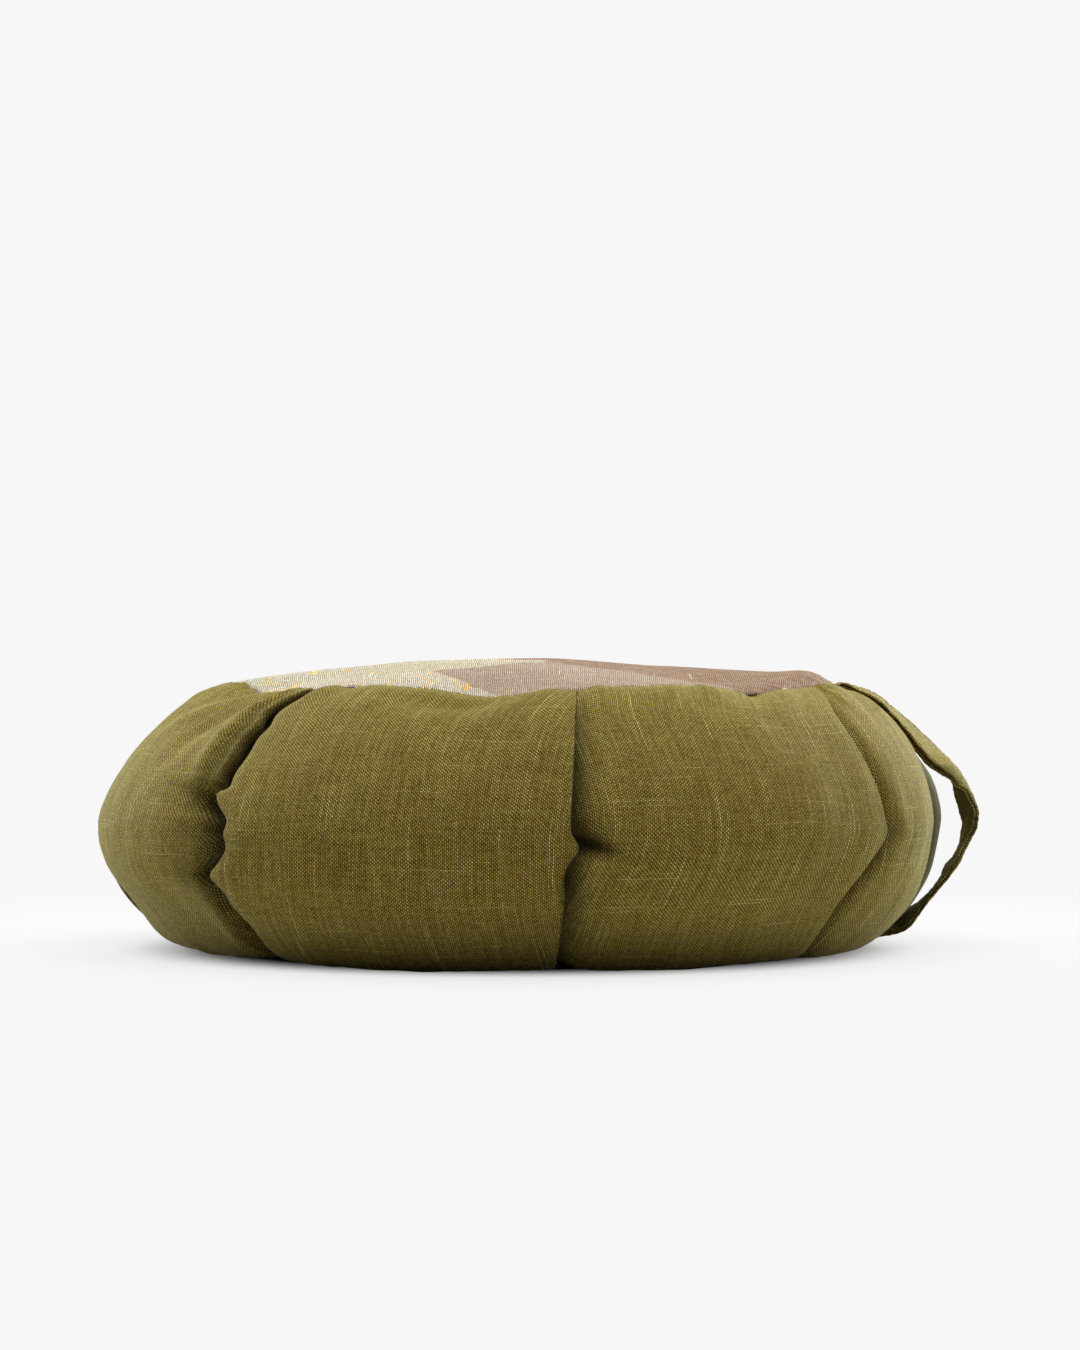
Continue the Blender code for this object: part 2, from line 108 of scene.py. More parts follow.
STRAP_PLY = 0.85            # thickness of one of the strap's two layers
PLY_GAP = 0.3               # half of the slot between the two layers
PLY_EDGE = (                # a layer's rounded edge: inset from the strap's edge, and height
    (0.9, 0.06 + PLY_GAP + STRAP_PLY), (0.3, PLY_GAP + STRAP_PLY),
    (0.0, PLY_GAP + STRAP_PLY / 2), (0.25, PLY_GAP - 0.05), (1.2, 0.1), (3.0, 0.03),
)
STRAP_SHARES = (-0.80, -0.66, -0.5, -0.25, 0.0, 0.25, 0.5, 0.66, 0.80)      # of its half width
STITCH_SINKS = 0.06         # how far the stitches draw the outer two of these in
GAPE_FROM = 0.35            # share of the half width from which the layers stand apart
UNDER_GAPE = 0.25           # how far the lower one moves, against the upper one
STRAP_CRINKLES = ((0.10, 1.9, 0.3), (0.12, 0.7, -0.5))  # height, and waves along and across
STRAP_CLOTH = 60.0          # the cloth coordinate of the strap's middle line
STRAP_STITCH_INSET = 2.2    # of the stitch line from the strap's edge
STITCH_LENGTH = 2.4
STITCH_GAP = 0.8
THREAD_RADIUS = 0.24

# The hollow that the strap presses into the shoulder above, and into the underside.
STRAP_AZIMUTH, STRAP_BED_REACH = 93.5, 10.0
STRAP_BED, STRAP_BED_FROM = 3.0, 0.60
STRAP_BED_LOW, STRAP_BED_TO = 2.6, 0.16
STRAP_BED_EASE = 0.12

# --------------------------------------------------------------- resolution
ROWS = 118                  # along the band, seam to seam
LOBE_COLUMNS = 74           # across one lobe, crease to fold's edge
PANEL_COLUMNS = 288
PANEL_RINGS = 46
STRAP_STATIONS = 150
STITCHES_FROM = 6           # stations without stitches at each end of the strap
CROWDING = 0.62             # of a lobe's columns towards its two sides
PANEL_CROWDING = 1.25       # power that crowds a panel's rings towards its seam
FOLD_POINTS = 13            # round a fold: those of its rolled edge, two, and those of its tuck
ROLL_TURNS = (90.0, 54.0, 18.0, -18.0, -54.0, -90.0)    # degrees round the rolled edge
TUCK_SHARES = (0.25, 0.5, 0.7, 0.85, 0.95)              # on the way out of the tuck

# ------------------------------------------------------------------- pleats
# Azimuth of each fold's edge, in degrees, at five height shares; radius of the
# rolled edge and depth of the tuck behind it; the height below which the lobe
# after it lies on top instead, where there is one; and how far the lobe before
# it then falls below that one, and over what distance.
HEIGHTS = (0.0, 0.30, 0.50, 0.85, 1.0)
SLOT = 0.8                  # between a folded edge and the cloth that it covers
FLAT_ROW = 1.2              # width over which the layers lie sewn flat at a seam
FLAT_SHARE = 0.06           # of the band's width, next to each seam
SEWN_SHARE = 0.35           # what is left of a fold's thickness at a seam
FULLNESS = 0.8              # power of the swell's profile, seam to seam
SWELL_POWER = 0.9           # and crease to fold's edge
SLACK_AT, SLACK_REACH = 0.28, 0.13      # of a lobe's hanging in, in height shares
SLACK_AFTER, SLACK_BEFORE = 0.15, 0.3   # and its ease at the lobe's two sides
RISE_POWER = 1.6            # of a lobe's rise out of its crease
LEAST_TUCK = 2.5            # in radii of the rolled edge
TUCK_TOP, TUCK_BOTTOM = 0.3, 0.1        # of a tuck's back, below the roll and above its floor
TURN_OVER = 0.035           # height share over which a fold changes sides
TURNED_ROLL = 0.5           # roll's radius where the fold has changed sides
FALL_STEEP = 0.85           # share of a lobe's fall below the next one that is steep
Pleat = namedtuple("Pleat", "base belly middle shoulder top roll tuck turns_at fall fall_reach",
                   defaults=(None, 0.0, 0.0))
PLEATS = (
    Pleat(-94.0, -93.5, -92.5, -93.0, -94.0, 1.6, 15.0),
    Pleat(-38.0, -41.5, -43.0, -47.0, -44.0, 3.8, 15.0, 0.625, 18.0, 9.0),
    Pleat(5.4, 5.9, 6.0, 6.3, 7.2, 0.9, 14.0),
    Pleat(51.0, 48.2, 55.0, 55.0, 62.0, 0.8, 15.0),
    Pleat(82.0, 77.5, 76.0, 82.5, 88.0, 3.4, 9.0),
    Pleat(133.0, 134.0, 136.0, 135.0, 134.0, 1.2, 14.0),
    Pleat(179.0, 178.0, 176.5, 177.0, 178.0, 2.0, 15.0),
    Pleat(220.0, 221.0, 223.0, 222.0, 221.0, 1.1, 14.0),
)

# Sideways kinks of a fold's edge: the pleat, the height share of the kink's
# middle, its half size along the band as a share, and its size.
Kink = namedtuple("Kink", "pleat height reach size")
KINKS = (
    Kink(0, 0.51, 0.04, 3.0),
    Kink(1, 0.25, 0.05, 3.0), Kink(1, 0.395, 0.028, -6.5), Kink(1, 0.475, 0.035, 5.8),
    Kink(1, 0.535, 0.03, 6.3), Kink(1, 0.605, 0.03, -1.8), Kink(1, 0.655, 0.045, -3.4),
    Kink(1, 0.82, 0.03, 2.5),
    Kink(2, 0.480, 0.030, 4.2), Kink(2, 0.405, 0.03, -1.0),
    Kink(3, 0.49, 0.04, 2.8),
    Kink(5, 0.44, 0.04, 3.0),
    Kink(6, 0.52, 0.04, 2.0),
    Kink(7, 0.47, 0.04, 3.4),
)

# The lobe that ends at the pleat of the same number: how far its middle swells,
# how deep it starts below the fold before it and over what distance it rises
# out of that crease, how far its lower part hangs in, how far the top seam dips
# along it, and how far its warp leans, in millimetres over the band's width.
Lobe = namedtuple("Lobe", "swell recess rise slack dip lean")
LOBES = (
    Lobe(3.4, 2.0, 9.0, 2.5, 2.4, 10.0),
    Lobe(3.0, 1.4, 9.0, 5.6, 2.8, 12.0),
    Lobe(4.4, 3.0, 6.0, 0.0, 3.4, 10.0),
    Lobe(3.6, 2.2, 7.0, 0.0, 1.9, -12.0),
    Lobe(1.6, 3.4, 5.0, 0.0, 1.2, 10.0),
    Lobe(3.4, 3.2, 11.0, 0.5, 2.0, -8.0),
    Lobe(4.0, 2.2, 9.0, 1.0, 2.8, 12.0),
    Lobe(4.2, 1.8, 8.0, 1.5, 2.2, -10.0),
)

# Hollows where the filling has sunk or a tuck is drawn in: the lobe, the
# distance from its crease, or from its fold's edge where that is negative, and
# the height share of the hollow's middle, its half sizes across and along the
# band, its depth and its lean in degrees.  A negative depth is a bump.
Dent = namedtuple("Dent", "lobe away height across along depth lean", defaults=(0.0,))
DENTS = (
    Dent(0, 3.0, 0.48, 8.0, 7.0, 5.5, 25.0),
    Dent(1, -8.0, 0.53, 9.0, 13.0, 9.0),
    Dent(1, -4.0, 0.41, 6.0, 4.5, 6.0),
    Dent(1, -6.0, 0.18, 7.0, 24.0, 2.2),
    Dent(1, 10.0, 0.44, 22.0, 40.0, 2.6),
    Dent(2, 5.0, 0.46, 8.0, 34.0, -1.6),
    Dent(3, 5.0, 0.505, 7.5, 5.5, 9.5, 20.0),
    Dent(3, 12.0, 0.478, 6.5, 3.4, 3.4, 24.0),
    Dent(3, 2.0, 0.40, 6.0, 9.0, 4.0),
    Dent(3, 2.0, 0.64, 5.0, 20.0, 1.6),
    Dent(3, 0.0, 0.10, 6.0, 12.0, 3.0),
    Dent(3, -26.0, 0.50, 20.0, 60.0, 2.0),
    Dent(4, 6.0, 0.47, 7.0, 20.0, 1.2),
    Dent(4, -3.0, 0.47, 24.0, 44.0, 2.4),
    Dent(5, 48.0, 0.46, 34.0, 46.0, 5.4),
    Dent(6, 3.0, 0.46, 8.0, 8.0, 5.0, -20.0),
    Dent(7, -3.0, 0.50, 9.0, 22.0, 4.5),
)

# Painted shade: how far the cloth's colour is darkened next to a fold's edge, where
# little light gets in, a row for each pleat: its strength and its reach in millimetres
# on the cloth after it, on the cloth before it, and on the latter where the fold has
# changed sides; and the height share above which the first of them fades.
Dimness = namedtuple("Dimness", "after after_reach before before_reach turned turned_reach top",
                     defaults=(0.0, 1.0, 2.0))
DIMNESSES = (
    Dimness(0.60, 6.0, 0.15, 2.0),
    Dimness(0.20, 1.6, 0.60, 7.0, 1.0, 17.0, 2.0),
    Dimness(0.80, 6.5, 0.20, 1.6),
    Dimness(0.80, 8.0, 0.10, 1.6, 0.0, 1.0, 0.60),
    Dimness(0.97, 62.0, 0.10, 1.6),
    Dimness(0.60, 6.0, 0.15, 2.0),
    Dimness(0.60, 6.0, 0.15, 2.0),
    Dimness(0.60, 6.0, 0.15, 2.0),
)
DIM_EASE, DIM_ABOVE = 0.16, 0.3         # height share over which it fades, and what is left
DIM_POWER = 1.6             # of its fading away from the edge
# Painted shade as well, inside a fold's slot and in a deep hollow.
SLOT_DIM, SLOT_FROM = 0.80, 0.3         # inside a fold, past this share of its points
DENT_DIM, DENT_DIM_DEPTH = 0.8, 9.0     # of a hollow that is this deep
DENT_DIM_POWER = 1.5        # and how it grows with the depth
# Painted shade on the strap's face towards the cushion.
STRAP_DIM = 0.35            # of the strap's face towards the cushion

# Soft folds that run along a curve: the lobe, the height of the ridge, negative
# for a valley, its half width, how it fades, and its points as shares of the
# lobe's width and of the band's width.  A "tail" fades towards the last point,
# and a "both" fades at its two ends.
Fold = namedtuple("Fold", "lobe size half fades points")
FOLDS = (
    Fold(1, 2.8, 6.0, "both",
         ((0.94, 0.99), (0.935, 0.90), (0.93, 0.80), (0.92, 0.70), (0.91, 0.58))),
    Fold(1, -2.0, 5.0, "both",
         ((1.0, 0.99), (1.0, 0.90), (1.0, 0.80), (1.0, 0.70), (1.0, 0.58))),
    Fold(1, -2.2, 6.0, "both",
         ((0.93, 0.98), (0.87, 0.90), (0.79, 0.83), (0.73, 0.74), (0.72, 0.66))),
    Fold(1, 2.0, 6.0, "both", ((0.82, 0.99), (0.68, 0.89), (0.56, 0.81), (0.49, 0.73))),
    Fold(1, -1.7, 5.0, "both", ((0.70, 0.99), (0.54, 0.91), (0.42, 0.84), (0.34, 0.77))),
    Fold(1, 1.6, 5.0, "tail", ((0.50, 1.00), (0.33, 0.92), (0.18, 0.85))),
    Fold(1, 2.2, 5.0, "both", ((0.92, 0.52), (0.92, 0.38), (0.91, 0.27), (0.88, 0.12))),
    Fold(1, 7.0, 2.2, "tail", ((1.0, 0.475), (0.955, 0.458), (0.90, 0.435))),
    Fold(2, -1.5, 6.0, "both", ((0.40, 0.95), (0.52, 0.91), (0.68, 0.91), (0.76, 0.95))),
    Fold(2, 1.0, 7.0, "both", ((0.84, 0.96), (0.79, 0.88), (0.74, 0.78))),
    Fold(2, 0.9, 5.0, "tail", ((0.08, 1.00), (0.13, 0.90), (0.20, 0.80))),
    Fold(2, -0.9, 4.0, "tail", ((0.16, 1.00), (0.22, 0.92))),
    Fold(2, 0.8, 5.0, "tail", ((0.92, 1.00), (0.90, 0.90))),
    Fold(2, -0.8, 5.0, "tail", ((0.55, 0.00), (0.52, 0.09))),
    Fold(3, 1.2, 4.0, "tail", ((0.06, 1.00), (0.07, 0.92), (0.10, 0.84))),
    Fold(3, 1.7, 4.0, "tail", ((0.44, 1.00), (0.48, 0.93), (0.55, 0.88))),
    Fold(3, -2.2, 5.0, "tail", ((0.64, 0.99), (0.58, 0.93), (0.52, 0.87))),
    Fold(3, 1.3, 7.0, "both", ((0.82, 1.00), (0.75, 0.92), (0.66, 0.84))),
    Fold(3, 1.3, 3.5, "both", ((0.02, 0.33), (0.08, 0.42), (0.12, 0.52))),
    Fold(3, 0.9, 4.0, "both", ((0.03, 0.18), (0.13, 0.31), (0.22, 0.46))),
    Fold(3, -0.8, 4.0, "both", ((0.08, 0.14), (0.20, 0.27), (0.28, 0.38))),
    Fold(3, -1.2, 2.6, "tail", ((0.30, 0.00), (0.29, 0.08))),
    Fold(3, 1.0, 2.6, "tail", ((0.26, 0.00), (0.25, 0.09))),
    Fold(4, 1.5, 3.0, "tail", ((0.05, 1.00), (0.18, 0.90), (0.30, 0.83))),
    Fold(4, -1.6, 3.0, "tail", ((0.13, 1.00), (0.12, 0.90), (0.20, 0.83))),
    Fold(4, 1.2, 5.0, "both", ((0.66, 0.98), (0.69, 0.90), (0.58, 0.80))),
    Fold(4, -1.2, 5.0, "both", ((0.45, 0.98), (0.46, 0.90), (0.42, 0.84))),
    Fold(5, 1.5, 6.0, "tail", ((0.52, 1.00), (0.50, 0.90), (0.44, 0.80))),
    Fold(5, -1.4, 5.0, "tail", ((0.70, 1.00), (0.66, 0.90), (0.58, 0.82))),
    Fold(6, 2.0, 6.0, "tail", ((0.90, 1.00), (0.88, 0.86), (0.84, 0.70))),
    Fold(6, -1.8, 6.0, "tail", ((0.76, 1.00), (0.72, 0.88), (0.64, 0.76))),
    Fold(7, 1.6, 5.0, "tail", ((0.30, 1.00), (0.36, 0.90), (0.46, 0.80))),
    Fold(7, -1.5, 5.0, "tail", ((0.46, 1.00), (0.52, 0.90), (0.60, 0.83))),
    Fold(0, 1.8, 6.0, "tail", ((0.85, 1.00), (0.78, 0.88), (0.70, 0.76))),
    Fold(0, -1.6, 5.0, "tail", ((0.62, 1.00), (0.58, 0.90), (0.50, 0.82))),
)
FADE_POWER = 0.7            # of a fold that fades at both ends
SEAM_GATHERS = 5            # small gathers at each seam of a lobe, besides the folds above
GATHER_SIZE = 0.55          # greatest height or depth
GATHER_HALF = (0.012, 0.03)             # least and largest half width, as shares of the lobe
GATHER_LEAN, GATHER_LEAN_OVER = 0.10, 30.0      # share of the lobe, over this distance
GATHER_REACHES = ((1.0, 16.0), (0.0, 12.0))     # of the gathers at the top and the bottom seam
GATHER_POWER = 1.5          # of their fading away from the seam
CLOTH_WAVES = ((0.32, 34.0), (0.16, 15.0))      # height and wavelength of the loose cloth's waves
WAVES_NARROWER = 1.3        # across the band than along it
WAVES_INSET = 6.0           # the waves keep this far from a lobe's sides
EDGE_WAVES, EDGE_INSET = 0.35, 1.5      # except for this share of them

# Where the weave lies: even on the cloth, but for a share that is drawn in with it.
EVEN_CLOTH, DRAWN_CLOTH = 0.8, 0.2
CLOTH_APART = 311.0         # cloth coordinates of neighbouring lobes lie this far apart
FIRST_STEP = 0.4            # from a lobe's cloth to the first point of a fold

# The strap's middle line, from the top seam out and down to the bottom seam,
# seen from the front; its twist about that line in degrees; how far its two
# layers stand apart at the near edge; how far that edge is drawn in; and how
# far both edges curl in towards the cushion.
Station = namedtuple("Station", "out up twist gape drawn curl", defaults=(0.0, 0.0, 0.0))
STRAP_ROUTE = (
    Station(141.5, 116.2, 0.0, 0.0, 1.0),
    Station(145.6, 117.8, 0.0, 0.1, 0.5),
    Station(152.0, 115.6, 3.0, 0.3),
    Station(158.1, 113.3, 4.8, 0.0, 0.2),
    Station(162.4, 110.7, 5.9, 0.1),
    Station(166.5, 106.9, 7.2, 0.1),
    Station(170.8, 102.8, 9.0, 0.2),
    Station(175.0, 98.8, 11.4, 0.5),
    Station(179.2, 94.4, 13.8, 0.9, 0.2, 0.2),
    Station(183.7, 90.1, 15.7, 1.0, 0.0, 0.6),
    Station(188.5, 85.9, 16.6, 0.9, 0.0, 1.2),
    Station(193.6, 83.0, 12.4, 0.6, 0.0, 2.6),
    Station(197.6, 79.2, 5.4, 0.2, 0.0, 3.6),
    Station(200.7, 74.4, 1.0, 0.0, 0.0, 3.8),
    Station(202.0, 71.0, -6.3, 0.0, 0.0, 3.0),
    Station(204.1, 65.4, -9.6, 0.0, 0.2, 2.8),
    Station(204.8, 60.8, -11.2, 0.0, 0.0, 2.0),
    Station(204.7, 56.7, -8.3, 0.0, 0.3, 1.5),
    Station(204.1, 53.4, -5.5, 0.0, 0.0, 1.0),
    Station(202.6, 49.8, -2.7, 0.0, 0.0, 0.7),
    Station(200.3, 44.2, 1.9, 0.0, 0.2, 0.4),
    Station(197.6, 39.4, 0.8),
    Station(194.2, 34.8, -0.8),
    Station(191.2, 29.8, 3.2, 0.1, 0.4),
    Station(187.7, 25.3, 4.5, 0.1),
    Station(183.9, 21.0, 3.5),
    Station(180.4, 17.4, 0.3, 0.0, 0.3),
    Station(176.8, 14.2, -6.0),
    Station(174.0, 11.0, -6.0),
    Station(170.5, 8.0, -3.0),
    Station(163.1, 6.0, 0.0),
    Station(155.0, 3.9, 0.0),
    Station(148.0, 2.4, 0.0),
    Station(140.5, 1.9, 0.0),
)


# ------------------------------------------------------------- small helpers
def smooth(x):
    """Eased step from 0 to 1 while x goes from 0 to 1."""
    x = np.clip(x, 0.0, 1.0)
    return x * x * (3.0 - 2.0 * x)


def smooth_from(start, x):
    """Eased step from 0 to 1 while x goes from the start to 1."""
    return smooth((x - start) / (1 - start))


def hill(x, middle, reach):
    """A soft bump: 1 high at the middle, and a third as high at the reach."""
    return np.exp(-((x - middle) / reach) ** 2)


def catmull_rom(a, b, c, d, u):
    """Cubic between b and c, a share u of the way, that passes through both."""
    return 0.5 * (2 * b + (c - a) * u + (2 * a - 5 * b + 4 * c - d) * u**2
                  + (3 * b - a - 3 * c + d) * u**3)


def spline(points, samples, steps=24):
    """A Catmull-Rom curve through rows of numbers, evenly spaced along it."""
    p = np.array(points, float)
    p = np.vstack([2 * p[0] - p[1], p, 2 * p[-1] - p[-2]])
    dense = []
    for i in range(len(p) - 3):
        for u in np.linspace(0.0, 1.0, steps, endpoint=i == len(p) - 4):
            dense.append(catmull_rom(*p[i:i + 4], u))
    dense = np.array(dense)
    gaps = np.linalg.norm(np.diff(dense[:, :2], axis=0), axis=1)
    length = np.concatenate([[0.0], np.cumsum(gaps)])
    wanted = np.linspace(0.0, length[-1], samples)
    return np.array([np.interp(wanted, length, column) for column in dense.T]).T


def ripples(x, y, wavelength, seed):
    """Smooth uneven waves between about -1 and 1, from crossing sines."""
    chance = np.random.default_rng(seed)
    total = np.zeros_like(x)
    waves, shortest, longest = 8, 0.7, 1.6
    for _ in range(waves):
        turn = chance.uniform(0, math.pi)
        length = wavelength * chance.uniform(shortest, longest)
        start = chance.uniform(0, 2 * math.pi)
        along = x * math.cos(turn) + y * math.sin(turn)
        total = total + np.sin(2 * math.pi * along / length + start)
    return total / math.sqrt(2 * waves)


def curve_distance(x, y, points):
    """Distance to a line through points, and the share of it reached there."""
    nearest = np.full(x.shape, np.inf)
    reached = np.zeros(x.shape)
    lengths = [math.dist(a, b) for a, b in zip(points, points[1:])]
    done = 0.0
    for (ax, ay), (bx, by), length in zip(points, points[1:], lengths):
        dx, dy = bx - ax, by - ay
        share = np.clip(((x - ax) * dx + (y - ay) * dy) / length**2, 0.0, 1.0)
        away = np.hypot(x - ax - share * dx, y - ay - share * dy)
        closer = away < nearest
        nearest = np.where(closer, away, nearest)
        reached = np.where(closer, (done + share * length) / sum(lengths), reached)
        done += length
    return nearest, reached


def around(azimuth, reach, level, lean=0.0):
    """Points round the cushion's axis, at these azimuths, distances and heights."""
    return np.stack([lean + reach * np.sin(azimuth), -reach * np.cos(azimuth),
                     level + 0.0 * azimuth], axis=-1)


def put_in_scene(name, data):
    """A new object with this data, in the scene."""
    made = bpy.data.objects.new(name, data)
    bpy.context.scene.collection.objects.link(made)
    return made


def mesh_piece(name, points, faces, cloth, material, dim=None):
    """A finished piece in metres, a UV map named Cloth in millimetres, and any painted shade."""
    mesh = bpy.data.meshes.new(name)
    mesh.from_pydata((np.asarray(points) * MM).tolist(), [], faces)
    mesh.update()
    layer = mesh.uv_layers.new(name="Cloth")
    corner = np.empty(len(mesh.loops), np.int32)
    mesh.loops.foreach_get("vertex_index", corner)
    layer.data.foreach_set("uv", np.asarray(cloth, np.float32)[corner].ravel())
    # the painted shade, which darkens the cloth's colour, as a point attribute
    if dim is not None:
        shade = mesh.attributes.new("PaintedShade", "FLOAT", "POINT")
        shade.data.foreach_set("value", np.asarray(dim, np.float32))
    mesh.shade_smooth()
    mesh.materials.append(material)
    return put_in_scene(name, mesh)


def ring_faces(first, second, count, outward):
    """Quads between two closed rings whose points start at these numbers."""
    faces = []
    for i in range(count):
        j = (i + 1) % count
        face = (first + i, first + j, second + j, second + i)
        faces.append(face if outward else face[::-1])
    return faces


def fan_faces(ring, count, tip, upward):
    """Triangles from a closed ring to one point."""
    faces = []
    for i in range(count):
        j = (i + 1) % count
        faces.append((ring + i, ring + j, tip) if upward else (ring + j, ring + i, tip))
    return faces


def closed_faces(rings, count, outward=True):
    """Faces of stacked rings that close in two tips, whose points come last."""
    faces = []
    for ring in range(rings - 1):
        faces += ring_faces(ring * count, (ring + 1) * count, count, outward)
    tip = rings * count
    faces += fan_faces(0, count, tip, upward=not outward)
    faces += fan_faces((rings - 1) * count, count, tip + 1, upward=outward)
    return faces


# ------------------------------------------------------------- band's section
def band_section(steps=1441):
    """Height share, radius, height, outward normal and length of the plain band."""
    turn = np.linspace(-math.pi / 2, math.pi / 2, steps)
    upper = turn > 0
    power = np.where(upper, UPPER_ROUNDNESS, LOWER_ROUNDNESS)
    rise = np.where(upper, SEAM_HEIGHT - WIDEST_HEIGHT, WIDEST_HEIGHT - UNDERSIDE)
    out = np.abs(np.cos(turn)) ** (2 / power)
    up = np.sign(turn) * np.abs(np.sin(turn)) ** (2 / power)
    r = SEAM_RADIUS + (BODY_RADIUS - SEAM_RADIUS) * out
    z = WIDEST_HEIGHT + rise * up
    length = np.concatenate([[0.0], np.cumsum(np.hypot(np.diff(r), np.diff(z)))])
    share = np.linspace(0.0, 1.0, ROWS)
    r = np.interp(share * length[-1], length, r)
    z = np.interp(share * length[-1], length, z)
    dr, dz = np.gradient(r), np.gradient(z)
    size = np.hypot(dr, dz)
    return share, r, z, dz / size, -dr / size, length[-1]


def fold_line(number, share, radius, kinked=True):
    """Azimuth of a fold's edge in radians at each height share."""
    knots = PLEATS[number][:len(HEIGHTS)]
    knots = (2 * knots[0] - knots[1], *knots, 2 * knots[-1] - knots[-2])
    line = []
    for height in share:
        place = float(np.interp(height, HEIGHTS, range(len(HEIGHTS))))
        start = min(int(place), len(HEIGHTS) - 2)
        line.append(catmull_rom(*knots[start:start + 4], place - start))
    line = np.radians(line)
    for kink in KINKS:
        if kinked and kink.pleat == number:
            line = line + kink.size * hill(share, kink.height, kink.reach) / radius
    return line


def fold_before(lines, number):
    """Line of the fold before a lobe, a whole turn back for the first lobe."""
    return lines[number - 1] - (2 * math.pi if number == 0 else 0.0)


def belly_sag(azimuth, height):
    """How far the lower belly sinks towards the floor, most at the front."""
    front = 0.5 + 0.5 * np.cos(azimuth - math.radians(SAG_AZIMUTH))
    return SAG * front * hill(height, SAG_AT, SAG_REACH)


def strap_bed(azimuth, height):
    """Depth of the hollow that the strap presses into the shoulder and the underside."""
    beside = np.exp(-np.abs((np.degrees(azimuth) - STRAP_AZIMUTH) / STRAP_BED_REACH) ** 3)
    above = STRAP_BED * smooth((height - STRAP_BED_FROM) / STRAP_BED_EASE)
    below = STRAP_BED_LOW * smooth((STRAP_BED_TO - height) / STRAP_BED_EASE)
    return beside * (above + below)


def seam_wave(lobe, share):
    """Rise and dip of the top seam along one lobe, crease to fold's edge."""
    return SEAM_HUMP * hill(share, HUMP_AT, HUMP_REACH) - lobe.dip * hill(share, DIP_AT, DIP_REACH)


def off_seam(share):
    """0 at the seams, where the layers lie sewn flat, and 1 away from them."""
    return smooth(np.minimum(share, 1 - share) / FLAT_SHARE)


def over_share(pleat, share):
    """1 where the lobe before a fold lies on top, 0 where the next one does."""
    if pleat.turns_at is None:
        return np.ones_like(share)
    return smooth((share - pleat.turns_at) / TURN_OVER + 0.5)


def belly_of(share):
    """Fullness of the swell at a height: 0 at the seams and 1 between them."""
    return np.sin(math.pi * np.clip(share, 0.0, 1.0)) ** FULLNESS


def fold_roll(pleat, share):
    """Radius of a rolled edge: smaller at the seams and where the other lobe is on top."""
    plump = TURNED_ROLL + (1 - TURNED_ROLL) * over_share(pleat, share)
    return pleat.roll * plump * (SEWN_SHARE + (1 - SEWN_SHARE) * belly_of(share))


def fold_thickness(pleat, share):
    """Two rolled layers and the slot below them, thin at the seams."""
    slot = SLOT * (SEWN_SHARE + (1 - SEWN_SHARE) * belly_of(share))
    return 2 * fold_roll(pleat, share) + slot


# --------------------------------------------------------- relief of one lobe
def dents(number, from_crease, from_edge, height, band_width):
    """Depth of the hollows in a lobe, by the distances from its two sides."""
    depth = np.zeros_like(from_crease)
    for dent in DENTS:
        if dent.lobe != number:
            continue
        lean = math.radians(dent.lean)
        x = (from_crease if dent.away >= 0 else -from_edge) - dent.away
        y = (height - dent.height) * band_width
        across = (x * math.cos(lean) - y * math.sin(lean)) / dent.across
        along = (x * math.sin(lean) + y * math.cos(lean)) / dent.along
        depth = depth + dent.depth * np.exp(-across**2 - along**2)
    return depth


def dimness(number, from_crease, from_edge, hollow, height, over):
    """Painted shade of a lobe's cloth, 0 to 1, next to its two folds and in its hollows."""
    first, last = DIMNESSES[number - 1], DIMNESSES[number]
    crease = first.after * np.exp(-(from_crease / first.after_reach) ** DIM_POWER)
    crease = crease * (DIM_ABOVE + (1 - DIM_ABOVE) * smooth((first.top - height) / DIM_EASE))
    edge = last.before * np.exp(-(from_edge / last.before_reach) ** DIM_POWER)
    turned = last.turned * np.exp(-(from_edge / last.turned_reach) ** DIM_POWER)
    edge = edge * over + turned * (1 - over)
    sunk = DENT_DIM * np.clip(hollow / DENT_DIM_DEPTH, 0.0, 1.0) ** DENT_DIM_POWER
    return (1 - (1 - crease) * (1 - edge) * (1 - sunk)) * belly_of(height)


def fold_dimness(before, after):
    """Painted shade of the points round a fold, from the cloth before it to the cloth after."""
    share = np.linspace(0.0, 1.0, FOLD_POINTS)[None, :]
    plain = before + (after - before) * smooth(share)
    inside = smooth(share / SLOT_FROM) * smooth((1 - share) / SLOT_FROM)
    return plain + (SLOT_DIM - plain) * inside


def soft_folds(number, x, y, width_at, band_width):
    """Height of a lobe's soft folds at places in flat millimetres."""
    total = np.zeros_like(x)
    for fold in FOLDS:
        if fold.lobe != number:
            continue
        points = [((s - 0.5) * width_at(h), h * band_width) for s, h in fold.points]
        away, reached = curve_distance(x, y, points)
        if fold.fades == "tail":
            fade = 1 - smooth(reached)
        else:
            fade = np.sin(math.pi * np.clip(reached, 0.0, 1.0)) ** FADE_POWER
        total = total + fold.size * fade * hill(away, 0.0, fold.half)
    return total


def gathers(number, share, height, band_width):
    """Small gathers that the sewing leaves next to both seams of a lobe."""
    chance = np.random.default_rng(100 + number)
    total = 0.0 * (share + height)
    for seam, reach in GATHER_REACHES:
        for _ in range(SEAM_GATHERS):
            at, half = chance.uniform(0.05, 0.95), chance.uniform(*GATHER_HALF)
            lean = chance.uniform(-GATHER_LEAN, GATHER_LEAN)
            size = GATHER_SIZE * chance.uniform(-1.0, 1.0)
            down = np.abs(seam - height)
            middle = at + lean * down * band_width / GATHER_LEAN_OVER
            fade = np.exp(-(down * band_width / reach) ** GATHER_POWER)
            total = total + size * fade * hill(share, middle, half)
    return total


def between_sides(from_crease, from_edge, inset):
    """0 at a lobe's two sides and 1 further in than the inset."""
    return smooth(from_crease / inset) * smooth(from_edge / inset)


